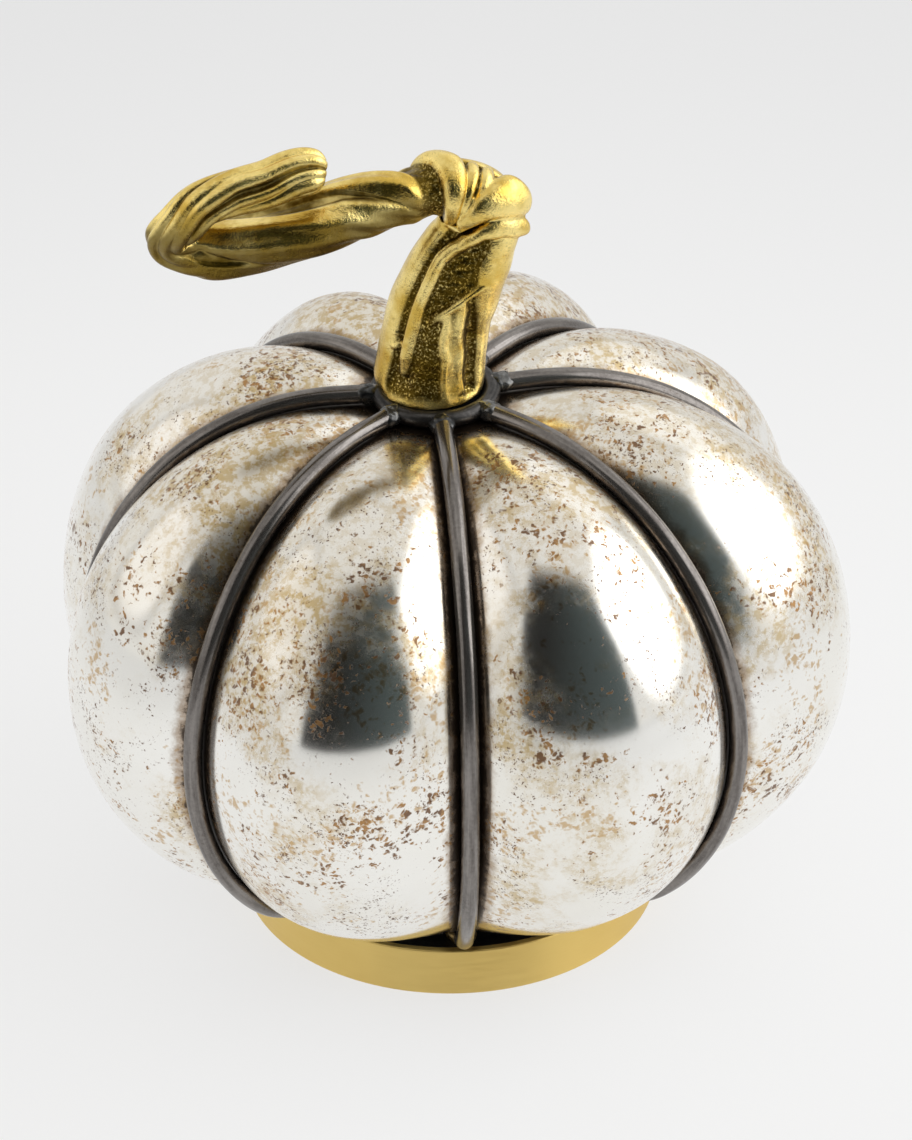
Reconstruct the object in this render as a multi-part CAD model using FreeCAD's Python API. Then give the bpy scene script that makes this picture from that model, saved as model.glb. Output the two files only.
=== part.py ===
"""A pumpkin of blown, silvered glass held in a cage of bent steel wire.

The glass bulges out in eight lobes between eight wire ribs. The ribs are welded to a wire collar at the
neck and brazed to a plate in the base, which a brass band surrounds. A gilded casting, twisted like a dried
stalk and curled over at its end, stands on the collar.

Millimetres, +Z up. The origin is the centre of the resting face; the front rib is towards -Y.
"""
import FreeCAD, Part
import math
import os

V = FreeCAD.Vector
UP = V(0, 0, 1)

# ---- driving dimensions ------------------------------------------------------------------------------
WIRE_D = 4.5              # steel wire of the ribs and of the collar ring
BELLY_R = 86.0            # wire line at the belly, from the axis
BELLY_Z = 75.0            # height of the belly
CROWN_Z = 142.0           # height of the wire line at the collar
COLLAR_R = 13.5           # centre line of the collar ring
COLLAR_X = -3.5           # the collar and the stem sit a little left of the base's centre
CROWN_RUN = 10.0          # level run of each rib before it turns down, outside the collar's centre line
FOOT_R = 44.0             # where the ribs end on the base plate

RIBS = {                  # rib: (azimuth in degrees, swell of its belly beyond BELLY_R)
    "rib_front": (-90.0, -6.0),
    "rib_front_right": (-41.5, 1.0),
    "rib_right": (10.0, 2.0),
    "rib_back_right": (51.5, 0.0),
    "rib_back": (94.0, -2.0),
    "rib_back_left": (134.0, -3.0),
    "rib_left": (182.0, 3.0),
    "rib_front_left": (222.5, 1.5),
}

LOBE_BULGE = 18.5         # how far a lobe stands out past the chord between its two wires
LOBE_PEAK = 0.54          # where along the wires, from the neck down, a lobe is fullest
LOBE_SCALE = (0.0, 0.1, -0.12, 0.2, 0.0, 0.08, -0.12, -0.06)   # uneven blowing, lobe by lobe
LOBE_NECK_POWER = 1.5     # how slowly a lobe rises out of the neck
LOBE_FOOT_POWER = 1.1     # and out of the foot
GLASS_WALL = 2.5
NECK_LAND = 4.0           # width of the glass's level rim, in from the collar's centre line
DRAIN_HOLE_R = 12.0
WIRE_BED = 0.65           # gap between a wire and the glass that it is bedded in

BAND_R = 52.0
BAND_TOP = 13.2
BAND_WALL = 2.0
LEDGE_R = 42.0            # bore of the band's inner ledge, which carries the plate
PLATE_T = 4.0
PLATE_SETBACK = 0.3       # the plate's top lies this much below the band's rim
FELT_T = 1.2
BAND_LIP = 0.8            # how far the band's outer wall reaches down past the top of the felt

SCREW_R = 1.5
SCREW_HEAD_R = 2.9
SCREW_HEAD_H = 1.5
SCREW_BITE = 3.0          # length of the screw in the plate
SCREW_SLOT_W = 0.7
SCREW_SLOT_DEPTH = 0.6
SCREW_COUNT = 3
SCREW_START = 30.0        # bearing of the first screw, in degrees

STUD_R = 3.0
STUD_UP = 18.0            # stud in the stem, above the collar
STUD_DOWN = 1.5           # stud past the weld nut
STUD_CHAMFER = 0.6
TOP_PLATE_T = 3.0
NUT_ACROSS_FLATS = 10.0
NUT_H = 5.0
GASKET_OVERHANG = 2.0     # how far the neck gasket reaches in past the rim of the glass

CUSHION_IN_R = 24.0
CUSHION_OUT_R = 36.0
PLUG_HEAD_R = 14.5
PLUG_HEAD_H = 1.4
PLUG_LENGTH = 6.0

STRANDS = 3               # strands twisted together in the stem
STRAND_DEPTH = 0.09       # ridge height of a strand, as a share of the stem's radius
FOOT_EASE = 6.0           # the strands rise out of a round foot over this length
TWIST_PITCH = 58.0        # length of one turn of the strands
STEM_PATH = (             # centre line of the stem: distance right, forwards (-) and up from the collar; radius
    (-1.2, 0.0, 0.0, 11.8),
    (-1.1, 0.0, 2.5, 12.5),
    (-0.2, 0.0, 8.5, 12.3),
    (3.0, 0.0, 21.5, 11.8),
    (7.6, 0.0, 33.5, 10.8),
    (10.7, 0.0, 41.5, 9.2),
    (10.6, -0.3, 48.2, 8.3),
    (2.4, -1.0, 53.2, 7.9),
    (-7.0, -2.0, 52.6, 7.1),
    (-17.6, -4.0, 50.4, 7.2),
    (-31.7, -7.0, 46.2, 7.1),
    (-43.4, -8.0, 43.7, 7.1),
    (-52.2, -8.5, 43.2, 6.8),
    (-58.7, -9.3, 44.8, 6.1),
    (-62.8, -12.2, 49.9, 5.4),
    (-60.3, -15.0, 55.9, 4.9),
    (-55.2, -15.4, 59.0, 4.8),
    (-47.7, -14.0, 61.3, 5.0),
    (-39.3, -12.7, 62.6, 5.1),
    (-32.7, -11.4, 63.1, 4.8),
    (-29.6, -10.9, 63.2, 4.0),
)
STEM_TIP = 0.35           # radius of the stem's blunt tip, as a share of the last radius
COLLAR_BEAD_R = 3.4
COLLAR_BEAD_UP = 0.7      # a collar bead's centre lies this much above the wires' centre line
COLLAR_BEAD_OUT = 0.6     # and this much outside the collar's wire
COLLAR_BEAD_BED = 0.8     # a bead runs down to this far below the centre line
FOOT_BEAD_R = 4.2

CLEAR = 0.3               # gap left between pieces that lie beside each other
SLIP = 0.05               # radial clearance of the stud and the screws in their holes

# ---- values that follow -------------------------------------------------------------------------------
WIRE_R = WIRE_D / 2
BED_R = WIRE_R + WIRE_BED                       # radius of the groove in the glass round a wire
PLATE_TOP = BAND_TOP - PLATE_SETBACK
FOOT_Z = PLATE_TOP + WIRE_R + CLEAR
COLLAR_TOP = CROWN_Z + WIRE_R
COLLAR_C = V(COLLAR_X, 0, 0)
SHOULDER = COLLAR_R + CROWN_RUN                 # where a rib starts to turn down, from the collar's centre
NECK_HOLE_R = COLLAR_R - NECK_LAND
GASKET_R = NECK_HOLE_R - GASKET_OVERHANG        # bore of the neck gasket
GLASS_FLOOR = FOOT_Z + BED_R                    # underside of the glass inside the ribs' feet


def cylinder(radius, bottom, top, centre=V(0, 0, 0)):
    return Part.makeCylinder(radius, top - bottom, V(centre.x, centre.y, bottom))


def save(name, shape):
    """Writes one node and prints what it holds, so that a bad solid is seen at once."""
    shape.exportStep("parts/" + name + ".step")
    size = shape.BoundBox
    print(f"{name:18s} solids {len(shape.Solids)} valid {shape.isValid()} volume {shape.Volume:10.1f}"
          f" z {size.ZMin:7.2f} .. {size.ZMax:7.2f}")


# ---- the ribs' centre lines -----------------------------------------------------------------------------
def quarter_oval(centre, outward, wide, tall, sign):
    """A quarter of a two-arc oval in a vertical plane, as two tangent arcs.

    It joins the point straight above (sign +1) or below (sign -1) the centre to the point level with it.
    The two radii come from the condition that the arcs share their tangent at 45 degrees.
    """
    corner = math.radians(45)
    spread = (wide - tall) / (math.sin(corner) + math.cos(corner) - 1)
    end_r = tall + spread * math.sin(corner)
    side_r = wide - spread * math.cos(corner)
    end_c = centre + UP * (sign * (tall - end_r))
    side_c = centre + outward * (wide - side_r)

    def at(middle, radius, angle):
        return middle + outward * (radius * math.cos(angle)) + UP * (sign * radius * math.sin(angle))

    end_arc = [at(end_c, end_r, a) for a in (math.pi / 2, (math.pi / 2 + corner) / 2, corner)]
    side_arc = [at(side_c, side_r, a) for a in (corner, corner / 2, 0.0)]
    return Part.Arc(*end_arc).toShape(), Part.Arc(*side_arc).toShape()


def rib_line(name, start_r):
    """Centre line of one rib: level out of the collar, round the belly and in under the glass to its foot."""
    azimuth, swell = RIBS[name]
    radial = V(math.cos(math.radians(azimuth)), math.sin(math.radians(azimuth)), 0)
    belly = radial * (BELLY_R + swell) + UP * BELLY_Z
    from_collar = belly - COLLAR_C
    from_collar.z = 0
    reach = from_collar.Length
    from_collar.normalize()

    shoulder = COLLAR_C + from_collar * SHOULDER + UP * BELLY_Z
    upper = quarter_oval(shoulder, from_collar, reach - SHOULDER, CROWN_Z - BELLY_Z, 1)
    keel = radial * FOOT_R + UP * BELLY_Z
    lower = quarter_oval(keel, radial, BELLY_R + swell - FOOT_R, BELLY_Z - FOOT_Z, -1)
    start = COLLAR_C + from_collar * start_r + UP * CROWN_Z
    level = Part.LineSegment(start, upper[0].Vertexes[0].Point).toShape()
    return Part.Wire([level, upper[0], upper[1], lower[1], lower[0]])


def rib(name):
    """The wire itself: a round section carried along its centre line, notched to fit the collar ring."""
    line = rib_line(name, COLLAR_R)
    start = line.Vertexes[0].Point
    heading = line.Vertexes[1].Point - start
    section = Part.Wire(Part.makeCircle(WIRE_R, start, heading))
    return line.makePipeShell([section], True, False).cut(collar_ring())


def collar_ring():
    return Part.makeTorus(COLLAR_R, WIRE_R, V(COLLAR_X, 0, CROWN_Z))


# ---- the glass ------------------------------------------------------------------------------------------
ROW_PITCH = 7.5      # distance along the wires between rows of the glass surface, at most
LOBE_STEPS = 12           # steps across one lobe
ROWS_INSET = 2.5          # the wires' rows begin this far inside the collar's centre line
LEAST_RISE = 0.01         # keeps the arc across a lobe defined where the lobe has died out
FLOOR_STEPS = 4           # rings of the glass's floor between the wires' feet and the drain hole


def lobe_bulge(along):
    """Height of a lobe over its chord: a cosine hump, level with the groove's bottom at the neck and the foot."""
    if along < LOBE_PEAK:
        hump = math.cos(math.pi / 2 * (LOBE_PEAK - along) / LOBE_PEAK) ** LOBE_NECK_POWER
    else:
        hump = math.cos(math.pi / 2 * (along - LOBE_PEAK) / (1 - LOBE_PEAK)) ** LOBE_FOOT_POWER
    return (LOBE_BULGE + BED_R) * hump - BED_R


def guide(line, count):
    """Points along a rib's centre line with the outward normal at each, in the rib's own vertical plane."""
    points = line.discretize(Number=count)
    normals = []
    for i, here in enumerate(points):
        if i == 0:
            normals.append(V(0, 0, 1))
            continue
        if i == len(points) - 1:
            normals.append(V(0, 0, -1))
            continue
        run = points[i + 1] - points[i - 1]
        side = V(-run.y, run.x, 0)
        if side.Length < 1e-6:
            side = V(-here.y, here.x, 0)
        outwards = V(here.x, here.y, 0)
        normal = run.cross(side)
        if normal.dot(outwards + UP * (here.z - BELLY_Z)) < 0:
            normal = normal * -1
        normals.append(normal.normalize())
    return points, normals


def row_across(points, normals, bulges):
    """One row of the surface, all the way round.

    Between two wires the row is an arc through both wire lines, drawn in by the groove's radius, so that it
    runs tangentially into a groove round each wire. A single point at the groove's bottom joins two lobes.
    """
    row = []
    count = len(points)
    for k in range(count):
        a, b = points[k], points[(k + 1) % count]
        across = b - a
        chord = across.Length
        across.normalize()
        out = normals[k] + normals[(k + 1) % count]
        out = out - across * out.dot(across)
        out.normalize()
        height = max(bulges[k] + BED_R, LEAST_RISE)
        radius = (chord * chord / 4 + height * height) / (2 * height)
        half_angle = math.atan2(chord / 2, radius - height)
        middle = (a + b) * 0.5 - out * (radius - height)
        row.append(a - normals[k] * BED_R)
        for step in range(LOBE_STEPS + 1):
            u = 2 * step / LOBE_STEPS - 1
            angle = half_angle * (0.5 * u + 0.5 * math.sin(math.pi * u / 2))
            direction = across * math.sin(angle) + out * math.cos(angle)
            row.append(middle + direction * (radius - BED_R))
    return row


def ring_row(like, centre, radius, height):
    """A round row, such as the rim of a hole, whose points lie at the same bearings as another row's."""
    row = []
    for point in like:
        ray = V(point.x - centre.x, point.y - centre.y, 0)
        ray.normalize()
        row.append(V(centre.x, centre.y, height) + ray * radius)
    return row


def glass_rows():
    """Rows of the outer surface, from the neck hole over the lobes to the drain hole."""
    lines = [rib_line(name, COLLAR_R - ROWS_INSET) for name in RIBS]
    count = 1 + math.ceil(max(line.Length for line in lines) / ROW_PITCH)
    guides = [guide(line, count) for line in lines]
    rows = []
    for i in range(count):
        along = i / (count - 1)
        bulges = [(lobe_bulge(along) + BED_R) * (1 + share) - BED_R for share in LOBE_SCALE]
        rows.append(row_across([g[0][i] for g in guides], [g[1][i] for g in guides], bulges))
    neck_z = CROWN_Z - BED_R
    neck = [ring_row(rows[0], COLLAR_C, NECK_HOLE_R, neck_z)]
    floor = []
    feet_r = FOOT_R * math.cos(math.pi / len(RIBS))
    for step in range(1, FLOOR_STEPS + 1):
        radius = feet_r + (DRAIN_HOLE_R - feet_r) * step / FLOOR_STEPS
        floor.append(ring_row(rows[-1], V(0, 0, 0), radius, GLASS_FLOOR))
    return neck + rows + floor


def inner_rows(rows):
    """The outer rows moved in by the wall, each point along its own normal; the rims keep their radius."""
    count = len(rows[0])
    moved = []
    for i, row in enumerate(rows):
        above = rows[max(i - 1, 0)]
        below = rows[min(i + 1, len(rows) - 1)]
        new = []
        for j, point in enumerate(row):
            along = below[j] - above[j]
            around = row[(j + 1) % count] - row[j - 1]
            normal = along.cross(around)
            normal.normalize()
            if i in (0, len(rows) - 1):
                normal = V(0, 0, math.copysign(1, normal.z))
            new.append(point - normal * GLASS_WALL)
        moved.append(new)
    return moved


def skin(rows):
    """A smooth closed band over the rows: a cubic B-spline face, periodic round the body."""
    count = len(rows[0])
    poles = [[row[j] for row in rows] for j in range(count)]
    surface = Part.BSplineSurface()
    inner = len(rows) - 3
    surface.buildFromPolesMultsKnots(
        poles,
        [1] * (count + 1), [4] + [1] * (inner - 1) + [4],
        [float(i) for i in range(count + 1)], [float(i) for i in range(inner + 1)],
        True, False, 3, 3)
    return surface.toShape()


def end_edge(face, low):
    """The closed edge of a skin at its lowest or highest end."""
    closed = [edge for edge in face.Edges if edge.isClosed()]
    closed.sort(key=lambda edge: edge.CenterOfMass.z)
    return closed[0] if low else closed[-1]


def solid_from(faces):
    shell = Part.makeCompound(faces)
    shell.sewShape(1e-4)
    body = Part.Solid(shell.Shells[0])
    if body.Volume < 0:
        body.reverse()
    return body


def glass_body():
    rows = glass_rows()
    outer = skin(rows)
    inner = skin(inner_rows(rows))
    rims = [Part.makeRuledSurface(end_edge(outer, low), end_edge(inner, low)) for low in (True, False)]
    return solid_from([outer, inner] + rims)


# ---- the stem -------------------------------------------------------------------------------------------
STEM_ROWS = 90
STEM_COLUMNS = 30
TIP_ROWS = ((0.85, 0.55), (STEM_TIP, 0.9))      # rows that round off the tip: their size and how far on they lie


def stem_frames():
    """Places along the stem with two directions across it, carried along without turning."""
    centres = [COLLAR_C + V(x, y, COLLAR_TOP + z) for x, y, z, radius in STEM_PATH]
    line = Part.BSplineCurve()
    line.interpolate(Points=centres, InitialTangent=UP * 8, FinalTangent=V(6, 1, 0))
    stations = [line.parameter(point) for point in centres]
    radii = [radius for x, y, z, radius in STEM_PATH]
    first, last = line.FirstParameter, line.LastParameter
    side = V(1, 0, 0)
    frames = []
    for i in range(STEM_ROWS):
        at = first + (last - first) * i / (STEM_ROWS - 1)
        place = line.value(at)
        ahead = line.tangent(at)[0]
        side = side - ahead * side.dot(ahead)
        side.normalize()
        k = max(j for j in range(len(stations) - 1) if stations[j] <= at + 1e-9)
        share = (at - stations[k]) / (stations[k + 1] - stations[k])
        ease = share * share * (3 - 2 * share)
        radius = radii[k] + (radii[k + 1] - radii[k]) * ease
        frames.append((place, side, ahead.cross(side), radius))
    return frames


def stem():
    """Strands twisted together: a lobed section that turns as it is carried along the stem's line."""
    frames = stem_frames()
    rows = []
    travelled = 0.0
    for i, (place, side, other, radius) in enumerate(frames):
        if i:
            travelled += (place - frames[i - 1][0]).Length
        ridge = STRAND_DEPTH * min(1.0, travelled / FOOT_EASE)
        turn = 2 * math.pi * travelled / TWIST_PITCH
        row = []
        for j in range(STEM_COLUMNS):
            angle = 2 * math.pi * j / STEM_COLUMNS
            reach = radius * (1 - ridge + ridge * math.cos(STRANDS * (angle - turn)))
            row.append(place + side * (reach * math.cos(angle)) + other * (reach * math.sin(angle)))
        rows.append(row)
    tip, side, other, radius = frames[-1]
    ahead = side.cross(other)
    for share, forward in TIP_ROWS:
        centre = tip + ahead * (radius * forward)
        rows.append([centre + (point - tip) * share for point in rows[STEM_ROWS - 1]])
    side_face = skin(rows)
    closed = [edge for edge in side_face.Edges if edge.isClosed()]
    caps = [Part.Face(Part.Wire(edge)) for edge in closed]
    body = solid_from([side_face] + caps)
    bore = cylinder(STUD_R + SLIP, COLLAR_TOP - 1, COLLAR_TOP + STUD_UP + 1, COLLAR_C)
    return body.cut(bore)


# ---- what holds the stem to the collar --------------------------------------------------------------------
PLATE_UNDER = COLLAR_TOP - TOP_PLATE_T
NUT_UNDER = PLATE_UNDER - NUT_H


def top_plate():
    disc = cylinder(COLLAR_R - WIRE_R - SLIP * 2, PLATE_UNDER, COLLAR_TOP, COLLAR_C)
    return disc.cut(cylinder(STUD_R + SLIP, PLATE_UNDER - 1, COLLAR_TOP + 1, COLLAR_C))


def weld_nut():
    corner = NUT_ACROSS_FLATS / 2 / math.cos(math.pi / 6)
    points = [V(COLLAR_X + corner * math.cos(math.pi / 3 * i), corner * math.sin(math.pi / 3 * i), NUT_UNDER)
              for i in range(7)]
    block = Part.Face(Part.makePolygon(points)).extrude(UP * NUT_H)
    return block.cut(cylinder(STUD_R + SLIP, NUT_UNDER - 1, PLATE_UNDER + 1, COLLAR_C))


def stem_stud():
    rod = cylinder(STUD_R, NUT_UNDER - STUD_DOWN, COLLAR_TOP + STUD_UP, COLLAR_C)
    rims = [edge for edge in rod.Edges if isinstance(edge.Curve, Part.Circle)]
    return rod.makeChamfer(STUD_CHAMFER, rims)


def neck_gasket():
    bottom = CROWN_Z - BED_R + CLEAR
    ring = cylinder(COLLAR_R - WIRE_R - CLEAR, bottom, PLATE_UNDER, COLLAR_C)
    return ring.cut(cylinder(GASKET_R, bottom - 1, PLATE_UNDER + 1, COLLAR_C))


# ---- the base -------------------------------------------------------------------------------------------
LEDGE_TOP = PLATE_TOP - PLATE_T
SCREW_CIRCLE = (LEDGE_R + BAND_R - BAND_WALL) / 2


def base_band():
    """A turned brass ring with an inner ledge for the plate and a lip round the felt; its rim is eased."""
    bore_r = BAND_R - BAND_WALL
    lip_bottom = FELT_T - BAND_LIP
    outline = [V(LEDGE_R, 0, FELT_T), V(bore_r, 0, FELT_T), V(bore_r, 0, lip_bottom), V(BAND_R, 0, lip_bottom),
               V(BAND_R, 0, BAND_TOP), V(bore_r, 0, BAND_TOP), V(bore_r, 0, LEDGE_TOP),
               V(LEDGE_R, 0, LEDGE_TOP), V(LEDGE_R, 0, FELT_T)]
    ring = Part.Face(Part.makePolygon(outline)).revolve(V(0, 0, 0), UP, 360)
    rim = [edge for edge in ring.Edges
           if isinstance(edge.Curve, Part.Circle) and abs(edge.Curve.Center.z - BAND_TOP) < 1e-6]
    ring = ring.makeFillet(BAND_WALL / 5, rim)
    for place in screw_places():
        ring = ring.cut(screw_shape(place, SLIP, LEDGE_TOP + 1))
    return ring


def screw_places():
    angles = [math.radians(SCREW_START + 360 / SCREW_COUNT * i) for i in range(SCREW_COUNT)]
    return [V(SCREW_CIRCLE * math.cos(a), SCREW_CIRCLE * math.sin(a), 0) for a in angles]


def screw_shape(place, grow, top):
    """A countersunk screw, point up, or the hole for one when it is grown by a clearance."""
    head = Part.makeCone(SCREW_HEAD_R + grow, SCREW_R + grow, SCREW_HEAD_H, V(place.x, place.y, FELT_T))
    return head.fuse(cylinder(SCREW_R + grow, FELT_T + SCREW_HEAD_H / 2, top, place)).removeSplitter()


def band_screws():
    screws = []
    reach = SCREW_HEAD_R * 0.8
    for place in screw_places():
        corner = V(place.x - reach, place.y - SCREW_SLOT_W / 2, FELT_T)
        slot = Part.makeBox(reach * 2, SCREW_SLOT_W, SCREW_SLOT_DEPTH, corner)
        screws.append(screw_shape(place, 0.0, LEDGE_TOP + SCREW_BITE).cut(slot))
    return Part.makeCompound(screws)


def base_plate():
    disc = cylinder(BAND_R - BAND_WALL - CLEAR / 2, LEDGE_TOP, PLATE_TOP)
    for place in screw_places():
        disc = disc.cut(cylinder(SCREW_R + SLIP, LEDGE_TOP - 1, LEDGE_TOP + SCREW_BITE + CLEAR, place))
    return disc


def felt_pad():
    return cylinder(BAND_R - BAND_WALL - CLEAR, 0, FELT_T)


def glass_cushion():
    top = GLASS_FLOOR - CLEAR
    ring = cylinder(CUSHION_OUT_R, PLATE_TOP, top)
    return ring.cut(cylinder(CUSHION_IN_R, PLATE_TOP - 1, top + 1))


def silvering_plug():
    """A bung: a head under the glass and a stopper up through its drain hole."""
    head_top = GLASS_FLOOR - CLEAR
    head = cylinder(PLUG_HEAD_R, head_top - PLUG_HEAD_H, head_top)
    stopper = cylinder(DRAIN_HOLE_R - CLEAR, head_top - PLUG_HEAD_H, head_top + PLUG_LENGTH)
    return head.fuse(stopper).removeSplitter()


# ---- welds ----------------------------------------------------------------------------------------------
def largest(shape):
    return max(shape.Solids, key=lambda solid: solid.Volume)


def side_seamed_ball(radius, centre, heading):
    """A ball whose seam faces sideways, clear of the wire that runs through it along the heading."""
    ball = Part.makeSphere(radius, centre)
    ball.rotate(centre, UP, math.degrees(math.atan2(heading.y, heading.x)) + 90)
    return ball


def collar_welds(ribs, casting):
    """A bead on top of each joint between a rib and the collar ring."""
    beads = []
    ring = collar_ring()
    for name in RIBS:
        line = rib_line(name, COLLAR_R)
        heading = line.Vertexes[1].Point - line.Vertexes[0].Point
        heading.normalize()
        centre = line.Vertexes[0].Point + heading * (WIRE_R + COLLAR_BEAD_OUT) + UP * COLLAR_BEAD_UP
        ball = side_seamed_ball(COLLAR_BEAD_R, centre, heading)
        under = cylinder(COLLAR_R * 2, CROWN_Z - COLLAR_BEAD_R * 2, CROWN_Z - COLLAR_BEAD_BED, COLLAR_C)
        beads.append(largest(ball.cut(under).cut(ribs[name]).cut(ring).cut(casting)))
    return Part.makeCompound(beads)


def foot_welds(ribs):
    """Brazing that runs round the end of each rib where it lies on the base plate."""
    beads = []
    for name in RIBS:
        azimuth = math.radians(RIBS[name][0])
        centre = V(FOOT_R * math.cos(azimuth), FOOT_R * math.sin(azimuth), PLATE_TOP)
        ball = side_seamed_ball(FOOT_BEAD_R, centre, V(centre.x, centre.y, 0))
        beads.append(largest(ball.cut(cylinder(BAND_R, -FOOT_BEAD_R, PLATE_TOP)).cut(ribs[name])))
    return Part.makeCompound(beads)


def main():
    os.makedirs("parts", exist_ok=True)
    ribs = {name: rib(name) for name in RIBS}
    casting = stem()
    for name, wire in ribs.items():
        save(name, wire)
    save("collar_ring", collar_ring())
    save("collar_welds", collar_welds(ribs, casting))
    save("foot_welds", foot_welds(ribs))
    save("glass_body", glass_body())
    save("stem", casting)
    save("top_plate", top_plate())
    save("weld_nut", weld_nut())
    save("stem_stud", stem_stud())
    save("neck_gasket", neck_gasket())
    save("base_band", base_band())
    save("base_plate", base_plate())
    save("band_screws", band_screws())
    save("felt_pad", felt_pad())
    save("glass_cushion", glass_cushion())
    save("silvering_plug", silvering_plug())


main()
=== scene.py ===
# %% [markdown]
# # A pumpkin of silvered glass in a wire cage
# The real object is one bubble of glass, blown into a cage of eight bent wires so that it swells out between
# them, silvered on the inside and "antiqued" so that the silver is specked with brown and gold. A gilded
# casting stands on its collar and a satin brass band carries it. The frame below is the measured design in
# metres; every piece made here lies on that design and only adds what the eye sees.

# %% The frame and its measures
import math

import bpy
import numpy as np
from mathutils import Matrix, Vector


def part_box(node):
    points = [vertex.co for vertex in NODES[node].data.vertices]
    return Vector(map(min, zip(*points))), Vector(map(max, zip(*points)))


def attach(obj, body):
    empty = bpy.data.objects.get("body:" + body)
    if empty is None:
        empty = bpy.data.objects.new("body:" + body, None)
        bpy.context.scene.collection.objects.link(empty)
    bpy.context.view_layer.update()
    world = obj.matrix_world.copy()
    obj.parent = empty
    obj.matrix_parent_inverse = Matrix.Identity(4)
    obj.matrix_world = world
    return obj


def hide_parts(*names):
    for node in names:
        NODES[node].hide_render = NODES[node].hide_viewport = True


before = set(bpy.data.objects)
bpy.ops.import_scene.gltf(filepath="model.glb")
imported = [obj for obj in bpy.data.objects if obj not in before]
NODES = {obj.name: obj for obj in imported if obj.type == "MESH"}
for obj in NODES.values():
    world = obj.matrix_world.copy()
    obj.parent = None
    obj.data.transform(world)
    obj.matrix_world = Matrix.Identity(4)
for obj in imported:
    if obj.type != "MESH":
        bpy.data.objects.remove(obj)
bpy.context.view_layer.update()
BODY = "root"
MM = 0.001
print("frame with", len(NODES), "nodes")

# %% [markdown]
# ## Measures
# A copyist measures the design before making anything. The collar ring gives the wire's thickness and the
# place of the neck; the plate gives the height of the wires' feet. The rest are the maker's own sizes, in
# millimetres: how far the cage stands out at its belly, and how far in its feet stand.

# %% Measures
ring_low, ring_high = [np.array(corner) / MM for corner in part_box("collar_ring")]
WIRE_R = (ring_high[2] - ring_low[2]) / 2
CROWN_Z = (ring_high[2] + ring_low[2]) / 2
COLLAR_R = (ring_high[0] - ring_low[0]) / 2 - WIRE_R
COLLAR_C = np.array([(ring_high[0] + ring_low[0]) / 2, 0.0, 0.0])
PLATE_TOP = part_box("base_plate")[1].z / MM
BELLY_R, BELLY_Z = 86.0, 75.0
CROWN_RUN = 10.0          # how far a wire runs level out of the collar
FOOT_R = 44.0
CLEAR = 0.3               # the gap left under a wire's foot, and between a wire and the glass
FOOT_Z = PLATE_TOP + WIRE_R + CLEAR
SHOULDER = COLLAR_R + CROWN_RUN
COLLAR_TOP = CROWN_Z + WIRE_R
UP = np.array([0.0, 0.0, 1.0])
LEVEL = np.array([1.0, 1.0, 0.0])
RIBS = {                  # rib: (bearing in degrees, swell of its belly beyond BELLY_R)
    "rib_front": (-90.0, -6.0),
    "rib_front_right": (-41.5, 1.0),
    "rib_right": (10.0, 2.0),
    "rib_back_right": (51.5, 0.0),
    "rib_back": (94.0, -2.0),
    "rib_back_left": (134.0, -3.0),
    "rib_left": (182.0, 3.0),
    "rib_front_left": (222.5, 1.5),
}
print(f"wire {WIRE_R * 2:.2f} mm, collar {COLLAR_R:.2f} mm at x {COLLAR_C[0]:.2f}, crown {CROWN_Z:.1f} mm")

# %% [markdown]
# ## Small tools
# Every new piece is a grid of points worked out as whole arrays. A grid can be closed one way (a tube) or
# both ways (a ring, or a hollow shell that turns back inside itself), so one function makes all the meshes.
# Extra numbers per point, such as how near a wire is, go along as attributes that a material can read.

# %% Mesh helpers
def in_scene(name, data):
    """An object for a mesh or a camera, at the origin and unturned."""
    made = bpy.data.objects.new(name, data)
    bpy.context.scene.collection.objects.link(made)
    return made


def add_layer(mesh, name, values):
    """One number for each point of the mesh, kept as an attribute."""
    layer = mesh.attributes.new(name, "FLOAT", "POINT")
    layer.data.foreach_set("value", np.asarray(values).astype(np.float32).ravel())


def grid_piece(name, points, closed_rows=False, caps=False, layers=None):
    """A mesh of quads over points[row, column]; columns always close, rows close when asked.

    With caps, the first and the last row are each closed by a fan round their middle point.
    """
    rows, columns = points.shape[:2]
    index = np.arange(rows * columns).reshape(rows, columns)
    ahead = np.roll(index, -1, axis=0)
    if not closed_rows:
        index, ahead = index[:-1], ahead[:-1]
    quads = np.stack([index, np.roll(index, -1, axis=1), np.roll(ahead, -1, axis=1), ahead], axis=-1)
    quads = quads.reshape(-1, 4)
    triangles = np.zeros((0, 3), int)
    flat = points.reshape(-1, 3)
    if caps:
        flat = np.concatenate([flat, points[[0, -1]].mean(axis=1)])
        first, last = index[0], ahead[-1]
        start, end = np.full(columns, rows * columns), np.full(columns, rows * columns + 1)
        triangles = np.concatenate([np.stack([start, np.roll(first, -1), first], axis=-1),
                                    np.stack([end, last, np.roll(last, -1)], axis=-1)])
    loops = np.concatenate([quads.ravel(), triangles.ravel()])
    sides = np.concatenate([np.full(len(quads), 4), np.full(len(triangles), 3)])
    mesh = bpy.data.meshes.new(name)
    mesh.vertices.add(len(flat))
    mesh.vertices.foreach_set("co", (flat * MM).astype(np.float32).ravel())
    mesh.loops.add(len(loops))
    mesh.loops.foreach_set("vertex_index", loops.astype(np.int32))
    mesh.polygons.add(len(sides))
    mesh.polygons.foreach_set("loop_start", (np.cumsum(sides) - sides).astype(np.int32))
    mesh.polygons.foreach_set("use_smooth", np.ones(len(sides), bool))
    mesh.update(calc_edges=True)
    for layer, values in (layers or {}).items():
        values = values.ravel()
        if caps:
            values = np.concatenate([values, [values[:columns].mean(), values[-columns:].mean()]])
        add_layer(mesh, layer, values)
    mesh.validate()
    return in_scene(name, mesh)


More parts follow.
